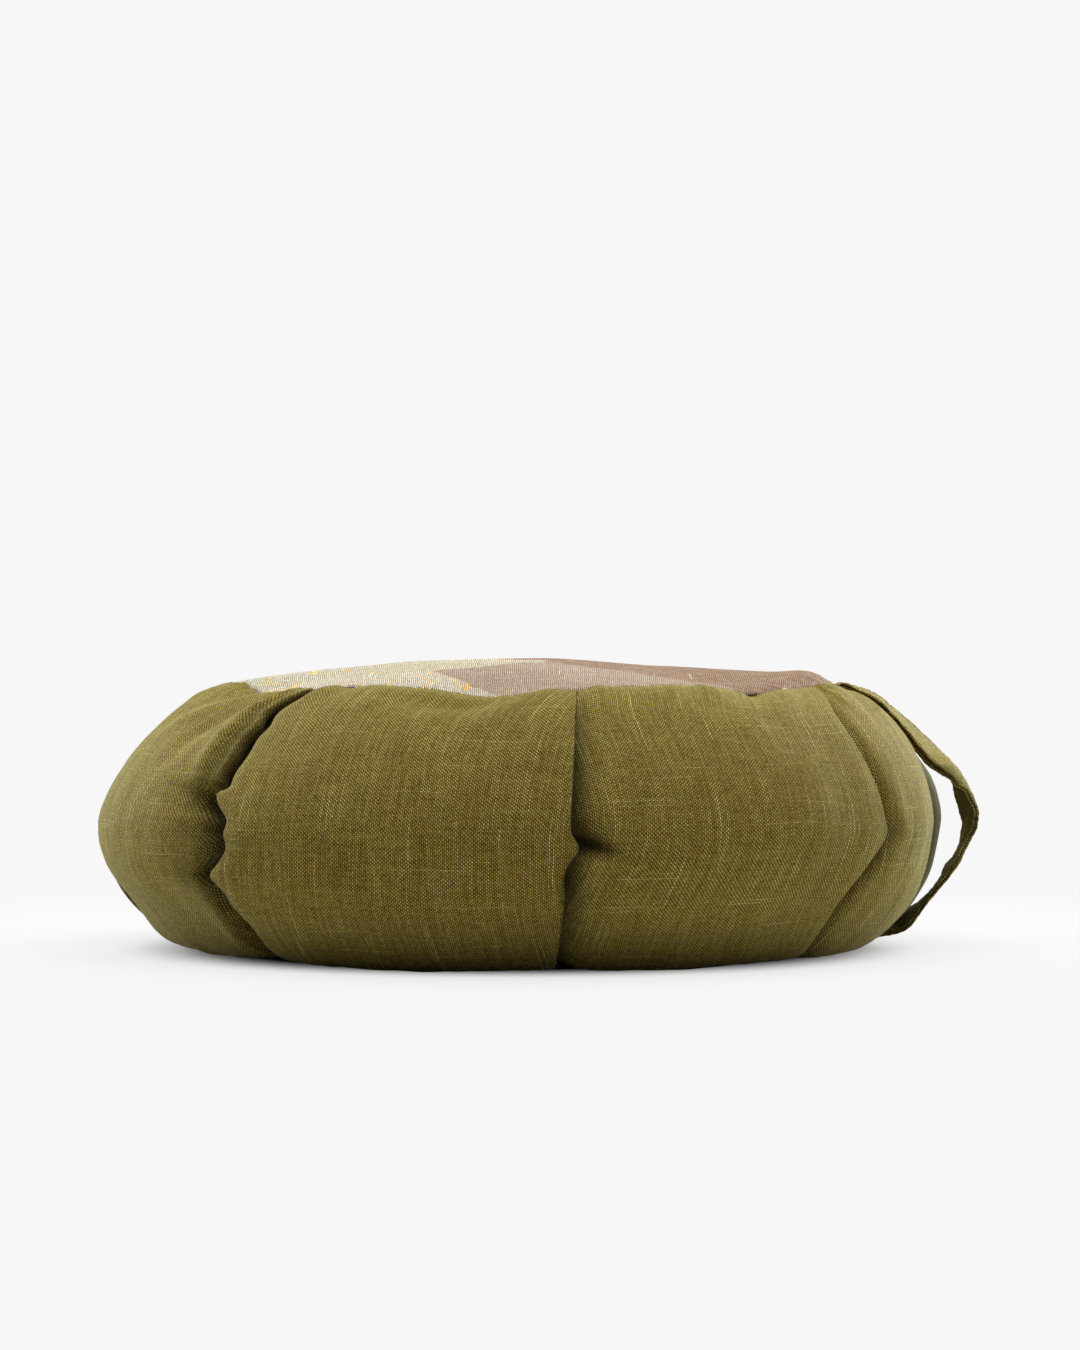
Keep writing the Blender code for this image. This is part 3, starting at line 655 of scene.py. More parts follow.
def cloth_waves(number, share, height, width, band_width):
    """Soft folds, gathers and the uneven waves of loose cloth on one lobe."""
    def width_at(at):
        return float(np.interp(at, height[:, 0], width[:, 0]))

    x = (share - 0.5) * width
    y = height * band_width + 0.0 * x
    waves = soft_folds(number, x, y, width_at, band_width)
    waves = waves + gathers(number, share, height, band_width)
    for size, wavelength in CLOTH_WAVES:
        seed = 10 * number + int(wavelength)
        waves = waves + size * ripples(x * WAVES_NARROWER, y, wavelength, seed)
    return waves


def lobe_relief(number, share, height, width, crease_level, fall, band_width):
    """How far a lobe's cloth stands off the plain band, at every row and column."""
    lobe, pleat = LOBES[number], PLEATS[number]
    from_crease, from_edge = share * width, (1 - share) * width
    swell = np.maximum(1 - (2 * share - 1) ** 2, 0.0) ** SWELL_POWER
    swell = lobe.swell * belly_of(height) * swell
    slack = lobe.slack * hill(height, SLACK_AT, SLACK_REACH)
    slack = slack * smooth(share / SLACK_AFTER) * smooth((1 - share) / SLACK_BEFORE)
    rise = crease_level * np.exp(-(from_crease / lobe.rise) ** RISE_POWER)
    if pleat.turns_at is not None:
        steep = hill(from_edge, 0.0, pleat.fall_reach)
        gentle = hill(from_edge, 0.0, 3 * pleat.fall_reach)
        rise = rise - fall * (FALL_STEEP * steep + (1 - FALL_STEEP) * gentle)
    hollow = dents(number, from_crease, from_edge, height, band_width)
    inside = between_sides(from_crease, from_edge, WAVES_INSET)
    edged = EDGE_WAVES * between_sides(from_crease, from_edge, EDGE_INSET)
    waves = cloth_waves(number, share, height, width, band_width)
    return swell - slack + rise - hollow + waves * np.maximum(inside, edged)


# ----------------------------------------------------------- folds of the band
def rolled_edge(roll, tuck, thick, over_level, under_level):
    """Sideways and outward places round a folded edge and into its tuck."""
    side, out = [], []
    for degrees in ROLL_TURNS:
        angle = math.radians(degrees)
        side.append(roll * (math.cos(angle) - 1))
        out.append(over_level + roll * (math.sin(angle) - 1))
    floor = over_level - thick
    side += [-tuck, -tuck]
    out += [over_level - 2 * roll - TUCK_TOP * (thick - 2 * roll), floor + TUCK_BOTTOM * thick]
    for share in TUCK_SHARES:
        side.append(-tuck * (1 - share))
        out.append(min(floor, floor + (under_level - floor) * share))
    return side, out


def fold_points(number, levels_before, levels_after, share):
    """Offsets of the points of one fold at each row: sideways and outward."""
    pleat = PLEATS[number]
    over, open_share = over_share(pleat, share), off_seam(share)
    thick, rolls = fold_thickness(pleat, share), fold_roll(pleat, share)
    sides, outs = [], []
    for row in range(len(share)):
        roll = rolls[row]
        before, after = levels_before[row], levels_after[row]
        tuck = max(pleat.tuck * open_share[row], LEAST_TUCK * roll)
        first, second = over[row], 1 - over[row]
        top_side, top_out = rolled_edge(roll, tuck, thick[row], before, after)
        low_side, low_out = rolled_edge(roll, tuck, thick[row], after, before)
        low_side, low_out = [-s for s in low_side[::-1]], low_out[::-1]
        side = first * np.array(top_side) + second * np.array(low_side)
        flat = np.linspace(-roll * first, FLAT_ROW + roll * second, FOLD_POINTS + 1)[:-1]
        sides.append(side * open_share[row] + flat * (1 - open_share[row]))
        outs.append(first * np.array(top_out) + second * np.array(low_out))
    return np.array(sides), np.array(outs)


def cloth_across(number, turn, radius, share, before, after, side, out):
    """Cloth coordinate across a lobe and round the fold after it."""
    wide = after - before
    widest = float((wide * radius).max())
    middle = ((before + after) / 2)[:, None]
    even = (turn - middle) * radius[:, None]
    drawn = (turn - middle) / wide[:, None] * widest
    lean = LOBES[number].lean * (share[:, None] - 0.5)
    u = EVEN_CLOTH * even + DRAWN_CLOTH * drawn - lean + CLOTH_APART * (number + 1)
    half = FOLD_POINTS // 2 + 1
    steps = np.hypot(np.diff(side, axis=1), np.diff(out, axis=1))
    first = FIRST_STEP + 0 * middle
    ahead = u[:, -1:] + np.cumsum(np.hstack([first, steps[:, :half - 1]]), axis=1)
    back = np.cumsum(np.hstack([first, steps[:, :half - 1:-1]]), axis=1)[:, ::-1]
    following = (number + 1) % len(PLEATS)
    behind = CLOTH_APART * (following + 1) - widest / 2 - back
    return [u, np.hstack([ahead, behind])]


def lobe_columns():
    """Places across a lobe, closer together near its two sides."""
    part = np.linspace(0.0, 1.0, LOBE_COLUMNS)
    return part - CROWDING * np.sin(2 * math.pi * part) / (2 * math.pi)


def lobe_grid(number, edges, share, radius, band_width):
    """Azimuth, relief and painted shade of one lobe's cloth, from its crease to its fold's edge.
    """
    pleat, earlier = PLEATS[number], PLEATS[number - 1]
    over, over_earlier = over_share(pleat, share), over_share(earlier, share)
    sewn = FLAT_ROW * (1 - off_seam(share))
    turned = fold_roll(earlier, share) * (1 - over_earlier)
    start = fold_before(edges, number) + (sewn + turned) / radius
    end = edges[number] - fold_roll(pleat, share) * over / radius
    width = ((end - start) * radius)[:, None]
    far = np.full_like(share, BODY_RADIUS * 5)
    sunk = dents((number - 1) % len(PLEATS), far, far * 0, share, band_width)
    drop = fold_thickness(earlier, share) + LOBES[number].recess * belly_of(share) + sunk
    fall = (fold_thickness(pleat, share) + pleat.fall * belly_of(share)) * (1 - over)
    part, height = lobe_columns()[None, :], share[:, None]
    relief = lobe_relief(number, part, height, width, -(drop * over_earlier)[:, None],
                         fall[:, None], band_width)
    from_crease, from_edge = part * width, (1 - part) * width
    hollow = dents(number, from_crease, from_edge, height, band_width)
    dim = dimness(number, from_crease, from_edge, hollow, height, over[:, None])
    return start[:, None] + (end - start)[:, None] * part, relief, dim


def band_grid():
    """Azimuth, place, cloth coordinates and painted shade of the band's points, row by row."""
    share, radius, z, n_out, n_up, band_width = band_section()
    numbers = range(len(PLEATS))
    edges = [fold_line(number, share, radius) for number in numbers]
    plain = [fold_line(number, share, radius, kinked=False) for number in numbers]
    lobes = [lobe_grid(number, edges, share, radius, band_width) for number in numbers]
    height = share[:, None]
    turns, reliefs, waves, across, dims = [], [], [], [], []
    for number in numbers:
        turn, relief, dim = lobes[number]
        next_relief, next_dim = lobes[(number + 1) % len(PLEATS)][1:]
        side, out = fold_points(number, relief[:, -1], next_relief[:, 0], share)
        turns += [turn, edges[number][:, None] + side / radius[:, None]]
        reliefs += [relief, out]
        dims += [dim, fold_dimness(dim[:, -1:], next_dim[:, :1])]
        along_seam = seam_wave(LOBES[number], lobe_columns())
        waves += [along_seam[None, :] + 0 * height, 0 * out + seam_wave(LOBES[number], 1.0)]
        across += cloth_across(number, turn, radius, share, fold_before(plain, number),
                               plain[number], side, out)
    turn, relief, wave, u, dim = (np.hstack(x) for x in (turns, reliefs, waves, across, dims))
    relief = relief - strap_bed(turn, height) + belly_sag(turn, height)
    level = z[:, None] + relief * n_up[:, None] + wave * smooth_from(WAVE_FROM, height)
    reach = radius[:, None] + relief * n_out[:, None]
    place = around(turn, reach, level, TOP_SHIFT * smooth_from(LEAN_FROM, height))
    cloth = np.stack([u, height * band_width + 0 * u], axis=-1)
    return turn, place, cloth, dim


# ------------------------------------------------------------ the side band
def make_band(material):
    """The pleated band round its filling: one closed padded body."""
    turn, place, cloth, dim = band_grid()
    top_turn, low_turn = turn[-1], turn[0]
    above = [place[-1] + around(top_turn, -inward, rise) for inward, rise in TOP_TURNINGS]
    for share in UNDER_TOP:
        level = crown_level(share, top_turn) - CLOTH - UNDER_TOP_GAP
        above.append(around(top_turn, PANEL_RADIUS * share, level, TOP_SHIFT))
    below = [place[0] + around(low_turn, -inward, rise) for inward, rise in LOW_TURNINGS]
    for share in OVER_BASE:
        below.append(around(low_turn, REST_RADIUS * share, CLOTH + OVER_BASE_GAP))
    rings = below[::-1] + list(place) + above

    top_cloth = [cloth[-1] + [0.0, 1.0 + i] for i in range(len(TOP_TURNINGS))]
    top_cloth += [cloth[-1]] * len(UNDER_TOP)
    low_cloth = [cloth[0] - [0.0, 1.0 + i] for i in range(len(LOW_TURNINGS))]
    low_cloth += [cloth[0]] * len(OVER_BASE)
    cloths = low_cloth[::-1] + list(cloth) + top_cloth

    count = turn.shape[1]
    tips = [[0.0, 0.0, CLOTH + OVER_BASE_GAP],
            [TOP_SHIFT, 0.0, SEAM_HEIGHT + CROWN - CLOTH - UNDER_TOP_GAP]]
    points = np.vstack(rings + [tips])
    cloth = np.vstack(cloths + [[[0.0, 0.0], [0.0, 0.0]]])
    dim = np.hstack([np.zeros(len(below) * count), dim.ravel(), np.zeros(len(above) * count + 2)])
    faces = closed_faces(len(rings), count)
    return mesh_piece("pleated_band", points, faces, cloth, material, dim)


# ------------------------------------------------------------- the panels
def seam_rise(azimuth):
    """Height of the top seam's wave at each azimuth."""
    turns = np.radians([pleat.top for pleat in PLEATS])
    azimuth = (np.asarray(azimuth) - turns[0]) % (2 * math.pi) + turns[0]
    starts = np.append(turns, turns[0] + 2 * math.pi)
    number = np.clip(np.searchsorted(starts, azimuth + 1e-9) - 1, 0, len(PLEATS) - 1)
    share = (azimuth - starts[number]) / (starts[number + 1] - starts[number])
    rise = np.zeros_like(share)
    for index in range(len(PLEATS)):
        here = number == index
        rise = np.where(here, seam_wave(LOBES[(index + 1) % len(PLEATS)], share), rise)
    return rise


def crown_level(share, azimuth):
    """Height of the top panel at a share of its radius."""
    wave = seam_rise(azimuth) * smooth_from(WAVE_INSIDE, share)
    rise = CROWN * np.maximum(1 - share**2, 0.0) ** CROWN_ROUNDNESS
    strap_side = np.maximum(np.sin(azimuth), 0.0) ** 2
    bump = hill(share, SHOULDER_AT, SHOULDER_REACH) * smooth((1 - share) / SEAM_EASE)
    sunk = HOLLOW * hill(share * PANEL_RADIUS * np.sin(azimuth), HOLLOW_AT, HOLLOW_REACH)
    sunk = sunk * smooth((1 - share) / HOLLOW_EASE)
    return SEAM_HEIGHT + wave + rise + SHOULDER * strap_side * bump - sunk


def puckers(azimuth, count, uneven, groups):
    """The small waves, between -1 and 1, that a seam leaves round a panel."""
    return np.sin(azimuth * count + uneven * np.sin(azimuth * groups))


def top_skin(share, azimuth):
    """Level of the printed panel, with the small puckers of its seam."""
    x, y = share * PANEL_RADIUS * np.sin(azimuth), share * PANEL_RADIUS * np.cos(azimuth)
    loose = TOP_LOOSE * ripples(x, y, TOP_LOOSE_WAVE, 5) * smooth((1 - share) / TOP_LOOSE_EASE)
    pucker = TOP_PUCKER * puckers(azimuth, 61, 3, 7)
    return crown_level(share, azimuth) + loose + pucker * hill(share, 1.0, TOP_PUCKER_REACH)


def base_skin(share, azimuth):
    """Level of the base panel: flat where it rests, lifted at its seam."""
    lift = RIM_LIFT * smooth_from(REST_RADIUS / PANEL_RADIUS, share)
    pucker = BASE_PUCKER * puckers(azimuth, 57, 2, 5)
    return lift + np.maximum(pucker, 0.0) * hill(share, 1.0, BASE_PUCKER_REACH)


def make_panel(name, material, lean, skin_level, edge_drop):
    """A sewn disc of cloth: skin, rolled edge and a hidden inner face."""
    turns = np.linspace(0, 2 * math.pi, PANEL_COLUMNS, endpoint=False)
    shares = 1 - np.linspace(0.0, 1.0, PANEL_RINGS)[:-1] ** PANEL_CROWDING
    steps = [(share, edge_drop, PANEL_INSET) for share in (*shares[::-3], 1.0)]
    steps += [(1.0, edge_drop * drop, inset) for drop, inset in PANEL_EDGE]
    steps += [(share, 0.0, 0.0) for share in shares[1:]]
    rings, cloths = [], []
    for share, drop, inset in steps:
        reach = PANEL_RADIUS * share - inset
        rings.append(around(turns, reach, skin_level(share, turns) + drop, lean))
        cloths.append(around(turns, reach, 0.0)[:, :2] + PANEL_CLOTH)
    centre = float(skin_level(0.0, np.zeros(1))[0])
    points = np.vstack(rings + [[[lean, 0.0, centre + edge_drop], [lean, 0.0, centre]]])
    cloth = np.vstack(cloths + [[[PANEL_CLOTH, PANEL_CLOTH]] * 2])
    faces = closed_faces(len(rings), PANEL_COLUMNS, outward=edge_drop < 0)
    return mesh_piece(name, points, faces, cloth, material)


# -------------------------------------------------------------- the strap
def strap_lines():
    """Middle, width direction and thickness direction of the strap's stations."""
    route = spline(STRAP_ROUTE, STRAP_STATIONS)
    flow = np.gradient(route[:, :2], axis=0)
    flow /= np.linalg.norm(flow, axis=1)[:, None]
    tilt = np.radians(route[:, 2])[:, None]
    face = np.stack([flow[:, 1], 0 * flow[:, 0], -flow[:, 0]], -1)
    across = np.tile([0.0, 1.0, 0.0], (len(route), 1))
    wide = across * np.cos(tilt) - face * np.sin(tilt)
    thin = face * np.cos(tilt) + across * np.sin(tilt)
    middle = np.stack([route[:, 0], 0 * route[:, 0] + STRAP_OFFSET, route[:, 1]], -1)
    return middle, wide, thin, route[:, 3:]


def ply_edge(side, sign):
    """The rounded edge of one layer, from its face in to the slot between the two."""
    points = [(side * (STRAP_WIDTH / 2 - inset), sign * h) for inset, h in PLY_EDGE]
    return points if side * sign > 0 else points[::-1]


def strap_face(w, h, gape, drawn, curl):
    """Place of a point of the flat strap's section once it gapes, draws in and curls."""
    half = STRAP_WIDTH / 2
    near = float(smooth_from(GAPE_FROM, -w / half))
    parted = gape * near * (1.0 if h > 0 else -UNDER_GAPE)
    return w + drawn * near, h + parted + curl * (w / half) ** 2


def strap_outline(gape, drawn, curl):
    """Section of the strap: two layers that part at their edges, all round."""
    top = PLY_GAP + STRAP_PLY
    across = [STRAP_WIDTH / 2 * share for share in STRAP_SHARES]
    sewn = (across[0], across[-1])
    outline = [(w, top - STITCH_SINKS if w in sewn else top) for w in across]
    outline += ply_edge(1, 1) + ply_edge(1, -1)
    outline += [(w, -top) for w in across[::-1]]
    outline += ply_edge(-1, -1) + ply_edge(-1, 1)
    return [strap_face(w, h, gape, drawn, curl) for w, h in outline]


def strap_crinkle(along, w):
    """Small unevenness of the strap's faces."""
    return sum(size * math.sin(along * lengthways + w * sideways)
               for size, lengthways, sideways in STRAP_CRINKLES)


def make_strap(material):
    """The carry strap: a strip folded double, with its two layers at the edges."""
    middle, wide, thin, shapes = strap_lines()
    gaps = np.linalg.norm(np.diff(middle, axis=0), axis=1)
    along = np.concatenate([[0.0], np.cumsum(gaps)])
    points, cloth, dim = [], [], []
    for i in range(STRAP_STATIONS):
        for w, h in strap_outline(*shapes[i]):
            raised = h + strap_crinkle(along[i], w)
            points.append(middle[i] + wide[i] * w + thin[i] * raised)
            cloth.append((w * (1 if h > 0 else -1) + STRAP_CLOTH, along[i]))
            # painted shade on the face towards the cushion
            dim.append(STRAP_DIM if h > 0 else 0.0)
    count = len(points) // STRAP_STATIONS
    points += [middle[0], middle[-1]]
    cloth += [(STRAP_CLOTH, 0.0), (STRAP_CLOTH, along[-1])]
    dim += [0.0, 0.0]
    faces = closed_faces(STRAP_STATIONS, count, outward=False)
    return mesh_piece("strap_of_doubled_linen", points, faces, cloth, material, dim)


# ------------------------------------------------------------------ node trees
def add(tree, kind, inputs=None, **settings):
    """A node with its settings and its inputs, which are values or sockets."""
    made = tree.nodes.new(kind)
    for name, value in settings.items():
        setattr(made, name, value)
    for socket, value in (inputs or {}).items():
        if isinstance(value, bpy.types.NodeSocket):
            tree.links.new(value, made.inputs[socket])
        else:
            made.inputs[socket].default_value = value
    return made


def tree_of(*values):
    """The node tree of the first socket among these values."""
    return next(value.id_data for value in values if isinstance(value, bpy.types.NodeSocket))


def maths(operation, *values):
    """One sum on sockets and plain numbers."""
    made = add(tree_of(*values), "ShaderNodeMath", dict(enumerate(values)), operation=operation)
    return made.outputs[0]


def minus(first, second):
    """The difference of two sockets or numbers."""
    return maths("SUBTRACT", first, second)


def times(first, second):
    """The product of two sockets or numbers."""
    return maths("MULTIPLY", first, second)


def times_plus(value, gain, base):
    """A value times a gain, plus a base."""
    return maths("MULTIPLY_ADD", value, gain, base)


def step_up(value, low, high):
    """0 below low, 1 above high, eased between."""
    made = add(tree_of(value), "ShaderNodeMapRange",
               {"Value": value, "From Min": low, "From Max": high},
               interpolation_type="SMOOTHSTEP")
    return made.outputs["Result"]


def mix_colours(share, first, second, blend="MIX"):
    """Two colours mixed by a share."""
    made = add(tree_of(share, first, second), "ShaderNodeMix", {0: share, 6: first, 7: second},
               data_type="RGBA", blend_type=blend)
    return made.outputs[2]


def shaded(colour, red, green, blue):
    """A colour times a brightness for each of its three parts."""
    shade = add(tree_of(colour), "ShaderNodeCombineColor",
                {"Red": red, "Green": green, "Blue": blue})
    return mix_colours(1.0, colour, shade.outputs["Color"], "MULTIPLY")


def noise(x, y, z, scale=1.0, detail=1.0):
    """Smooth noise at three coordinates."""
    tree = tree_of(x)
    place = add(tree, "ShaderNodeCombineXYZ", {"X": x, "Y": y, "Z": z})
    made = add(tree, "ShaderNodeTexNoise", {"Vector": place.outputs[0], "Scale": scale,
                                            "Detail": detail, "Roughness": 0.5})
    return made.outputs["Fac"]


# --------------------------------------------------------------- the stitches
def stitch_tree():
    """Stitches of sewing thread along a line: length, gap and thread are inputs."""
    tree = bpy.data.node_groups.new("Running stitches", "GeometryNodeTree")
    face = tree.interface
    face.new_socket("Line", in_out="INPUT", socket_type="NodeSocketGeometry")
    for name in ("Stitch", "Gap", "Thread"):
        face.new_socket(name, in_out="INPUT", socket_type="NodeSocketFloat")
    face.new_socket("Thread Material", in_out="INPUT", socket_type="NodeSocketMaterial")
    face.new_socket("Stitches", in_out="OUTPUT", socket_type="NodeSocketGeometry")
    given = add(tree, "NodeGroupInput").outputs
    line = add(tree, "GeometryNodeMeshToCurve", {"Mesh": given["Line"]})
    points = add(tree, "GeometryNodeCurveToPoints",
                 {"Curve": line.outputs["Curve"],
                  "Length": maths("ADD", given["Stitch"], given["Gap"])}, mode="LENGTH")
    turn = add(tree, "FunctionNodeAlignRotationToVector",
               {"Vector": points.outputs["Tangent"]}, axis="Z")
    stitch = add(tree, "GeometryNodeMeshUVSphere", {"Segments": 8, "Rings": 6, "Radius": 1.0})
    size = add(tree, "ShaderNodeCombineXYZ", {"X": given["Thread"], "Y": given["Thread"],
                                              "Z": times(given["Stitch"], 0.5)})
    placed = add(tree, "GeometryNodeInstanceOnPoints",
                 {"Points": points.outputs["Points"], "Instance": stitch.outputs["Mesh"],
                  "Rotation": turn.outputs["Rotation"], "Scale": size.outputs["Vector"]})
    real = add(tree, "GeometryNodeRealizeInstances", {"Geometry": placed.outputs["Instances"]})
    soft = add(tree, "GeometryNodeSetShadeSmooth", {"Geometry": real.outputs["Geometry"]})
    dressed = add(tree, "GeometryNodeSetMaterial", {"Geometry": soft.outputs["Geometry"],
                                                    "Material": given["Thread Material"]})
    add(tree, "NodeGroupOutput", {"Stitches": dressed.outputs["Geometry"]})
    return tree


def stitch_lines():
    """Two lines on each face of the strap, one near either edge."""
    middle, wide, thin, shapes = strap_lines()
    inset = STRAP_WIDTH / 2 - STRAP_STITCH_INSET
    level = PLY_GAP + STRAP_PLY
    points, edges = [], []
    sewn = range(STITCHES_FROM, STRAP_STATIONS - STITCHES_FROM)
    for side in (-1, 1):
        for out in (-1, 1):
            for i in sewn:
                w, h = strap_face(side * inset, out * level, *shapes[i])
                points.append((middle[i] + wide[i] * w + thin[i] * h) * MM)
                if i > sewn[0]:
                    edges.append((len(points) - 2, len(points) - 1))
    mesh = bpy.data.meshes.new("stitch_lines")
    mesh.from_pydata([tuple(p) for p in points], edges, [])
    return mesh


def make_stitches(thread):
    """Stitches along the strap's four lines, turned into a plain mesh."""
    mesh = stitch_lines()
    lines = put_in_scene("stitch_lines", mesh)
    modifier = lines.modifiers.new("Stitches", "NODES")
    modifier.node_group = stitch_tree()
    values = {"Stitch": STITCH_LENGTH * MM, "Gap": STITCH_GAP * MM, "Thread": THREAD_RADIUS * MM,
              "Thread Material": thread}
    for item in modifier.node_group.interface.items_tree:
        if item.name in values:
            modifier[item.identifier] = values[item.name]
    shown = lines.evaluated_get(bpy.context.evaluated_depsgraph_get())
    sewn = bpy.data.meshes.new_from_object(shown)
    bpy.data.objects.remove(lines, do_unlink=True)
    bpy.data.meshes.remove(mesh)
    return put_in_scene("strap_stitches", sewn)


# ----------------------------------------------------------------- materials
# The weave.  A pair of numbers is the range over which a mask goes from 0 to 1,
# unless its comment says otherwise.
WEFT_SHARE = 0.84                # spacing of the weft yarns against the warp yarns
COARSE_WANDER = (0.020, 3.0)     # scale and size in millimetres of the yarns' wandering
FINE_WANDER = (0.15, 0.7)
ROUND_SHARE = 0.6                # of a yarn's relief, and the rest is its way over and under
ON_TOP = (-0.08, 0.08)
YARN_APART = 7.31                # step of the noise from one yarn to the next
TONE_ALONG = 0.035               # scale of the changes along a yarn, of its tone
SLUB_ALONG = 0.017               # and of its slubs
SLUB_RANGE = 0.15
SLUB_ROUND = (0.55, 0.9)
TONE_RANGE = (0.30, 0.72)
HOLE_RANGE = (0.04, 0.34)
SLUB_RELIEF = 0.35
HOLE_UNLIKE = 0.25               # how far neighbouring holes differ
UNEVEN_SCALE = 0.014             # of the cloth's uneven tone
FLECK_SCALE = 0.9                # of the uneven tone from crossing to crossing

# How the weave's masks act on a cloth's colour: gain and base of the brightness.
PATCH_SHADE = (0.36, 0.82)
# Painted shade and highlight on the weave: its relief darkens the yarns' low parts and lightens
# their crests, and the warp is lighter where it lies on top, as the light falls.
RELIEF_SHADE = (0.95, 0.28)
WARP_SHADE = (0.98, 0.53)
FLECK_SHADE = (1.7, 0.15)
PATCH_RED = 0.8                  # power of the patches' effect on red
SLUB_SHOWS = 0.55                # share of a slub's own colour
HOLE_COLOUR = (0.012, 0.009, 0.003, 1.0)
# Colour of the painted shade in creases, fold slots and hollows.
PAINTED_SHADE_COLOUR = (0.010, 0.008, 0.003, 1.0)
LINEN_BUMP = (0.55, 0.16)        # strength, and height in millimetres
LINEN_SHADER = {"Roughness": 0.88, "Specular IOR Level": 0.15, "Sheen Roughness": 0.45,
                "Sheen Tint": (0.43, 0.51, 0.26, 1.0)}

Linen = namedtuple("Linen", "dark light slub hole yarn wander slubs sheen")
OLIVE = Linen(dark=(0.228, 0.157, 0.023, 1.0), light=(0.342, 0.270, 0.059, 1.0),
              slub=(0.50, 0.46, 0.17, 1.0), hole=1.0, yarn=0.85, wander=1.0, slubs=0.62,
              sheen=0.26)
OLIVE_UNDER = Linen(dark=(0.224, 0.155, 0.024, 1.0), light=(0.352, 0.283, 0.064, 1.0),
                    slub=(0.48, 0.44, 0.19, 1.0), hole=1.0, yarn=0.85, wander=1.0, slubs=0.63,
                    sheen=0.20)
PRINT = Linen(dark=(0.84, 0.83, 0.80, 1.0), light=(1.04, 1.03, 1.00, 1.0),
              slub=(0.80, 0.74, 0.62, 1.0), hole=0.80, yarn=0.85, wander=1.0, slubs=0.66,
              sheen=0.15)

# The print: irregular patches in five colours.  Again a pair is a mask's range.
PRINT_PLACE = (1233.0, 841.0, 0.0)      # part of the endless print that the panel is cut from
PRINT_GREY, PRINT_ROSE = (0.58, 0.54, 0.42, 1.0), (0.44, 0.325, 0.255, 1.0)
PRINT_BROWN, PRINT_PALE = (0.33, 0.20, 0.138, 1.0), (0.64, 0.58, 0.47, 1.0)
PRINT_GOLD = (0.90, 0.58, 0.16, 1.0)
PATCH_SCALE, PATCH_UNEVEN = 0.0125, 0.9
PATCH_BEND = (0.020, 60.0)       # scale and size in millimetres of the bends in its outlines
ROSE_PATCHES, BROWN_PATCHES, PALE_PATCHES = (0.70, 0.72), (0.64, 0.66), (0.82, 0.84)
BRUSH_SCALE = 0.16
BRUSH_STREAKS, STREAK_SHARE = (0.50, 0.68), 0.22
GOLD_RINGS = 5.5                 # rings to a patch
GOLD_LINE = (0.030, 0.055)       # half width of a gold line, in shares of the ring's spacing
GOLD_INKED = (0.36, 0.42)

THREAD_DARK, THREAD_LIGHT = (0.16, 0.135, 0.045, 1.0), (0.30, 0.26, 0.10, 1.0)
THREAD_TWISTS, THREAD_UNEVEN = 900.0, 1.5
THREAD_BUMP = (0.3, 0.05)
THREAD_SHADER = {"Roughness": 0.6}


def wandering(place, flat, wander, coarse_seed, fine_seed):
    """One of the cloth's coordinates, once its yarns wander a little."""
    (coarse, far), (fine, near) = COARSE_WANDER, FINE_WANDER
    slow = minus(noise(*flat, coarse_seed, coarse), 0.5)
    quick = minus(noise(*flat, fine_seed, fine), 0.5)
    return times_plus(times_plus(slow, far, times(quick, near)), wander, place)


def yarn_wave(count):
    """Sine, roundness and cosine of the yarns, by a coordinate that counts them."""
    wave = maths("SINE", times(count, math.pi))
    return wave, maths("ABSOLUTE", wave), maths("COSINE", times(count, math.pi))


def yarn_marks(count, along, tone_seed, slub_seed, slubs, seen, roundness):
    """Tone and slubs of each yarn along its length, the slubs where it is on top."""
    yarn = times(maths("FLOOR", count), YARN_APART)
    tone = noise(yarn, times(along, TONE_ALONG), tone_seed)
    slub = noise(yarn, times(along, SLUB_ALONG), slub_seed)
    slub = step_up(slub, slubs, maths("ADD", slubs, SLUB_RANGE))
    slub = times(slub, times_plus(seen, 0.5, 0.5))
    return tone, times(slub, step_up(roundness, *SLUB_ROUND))


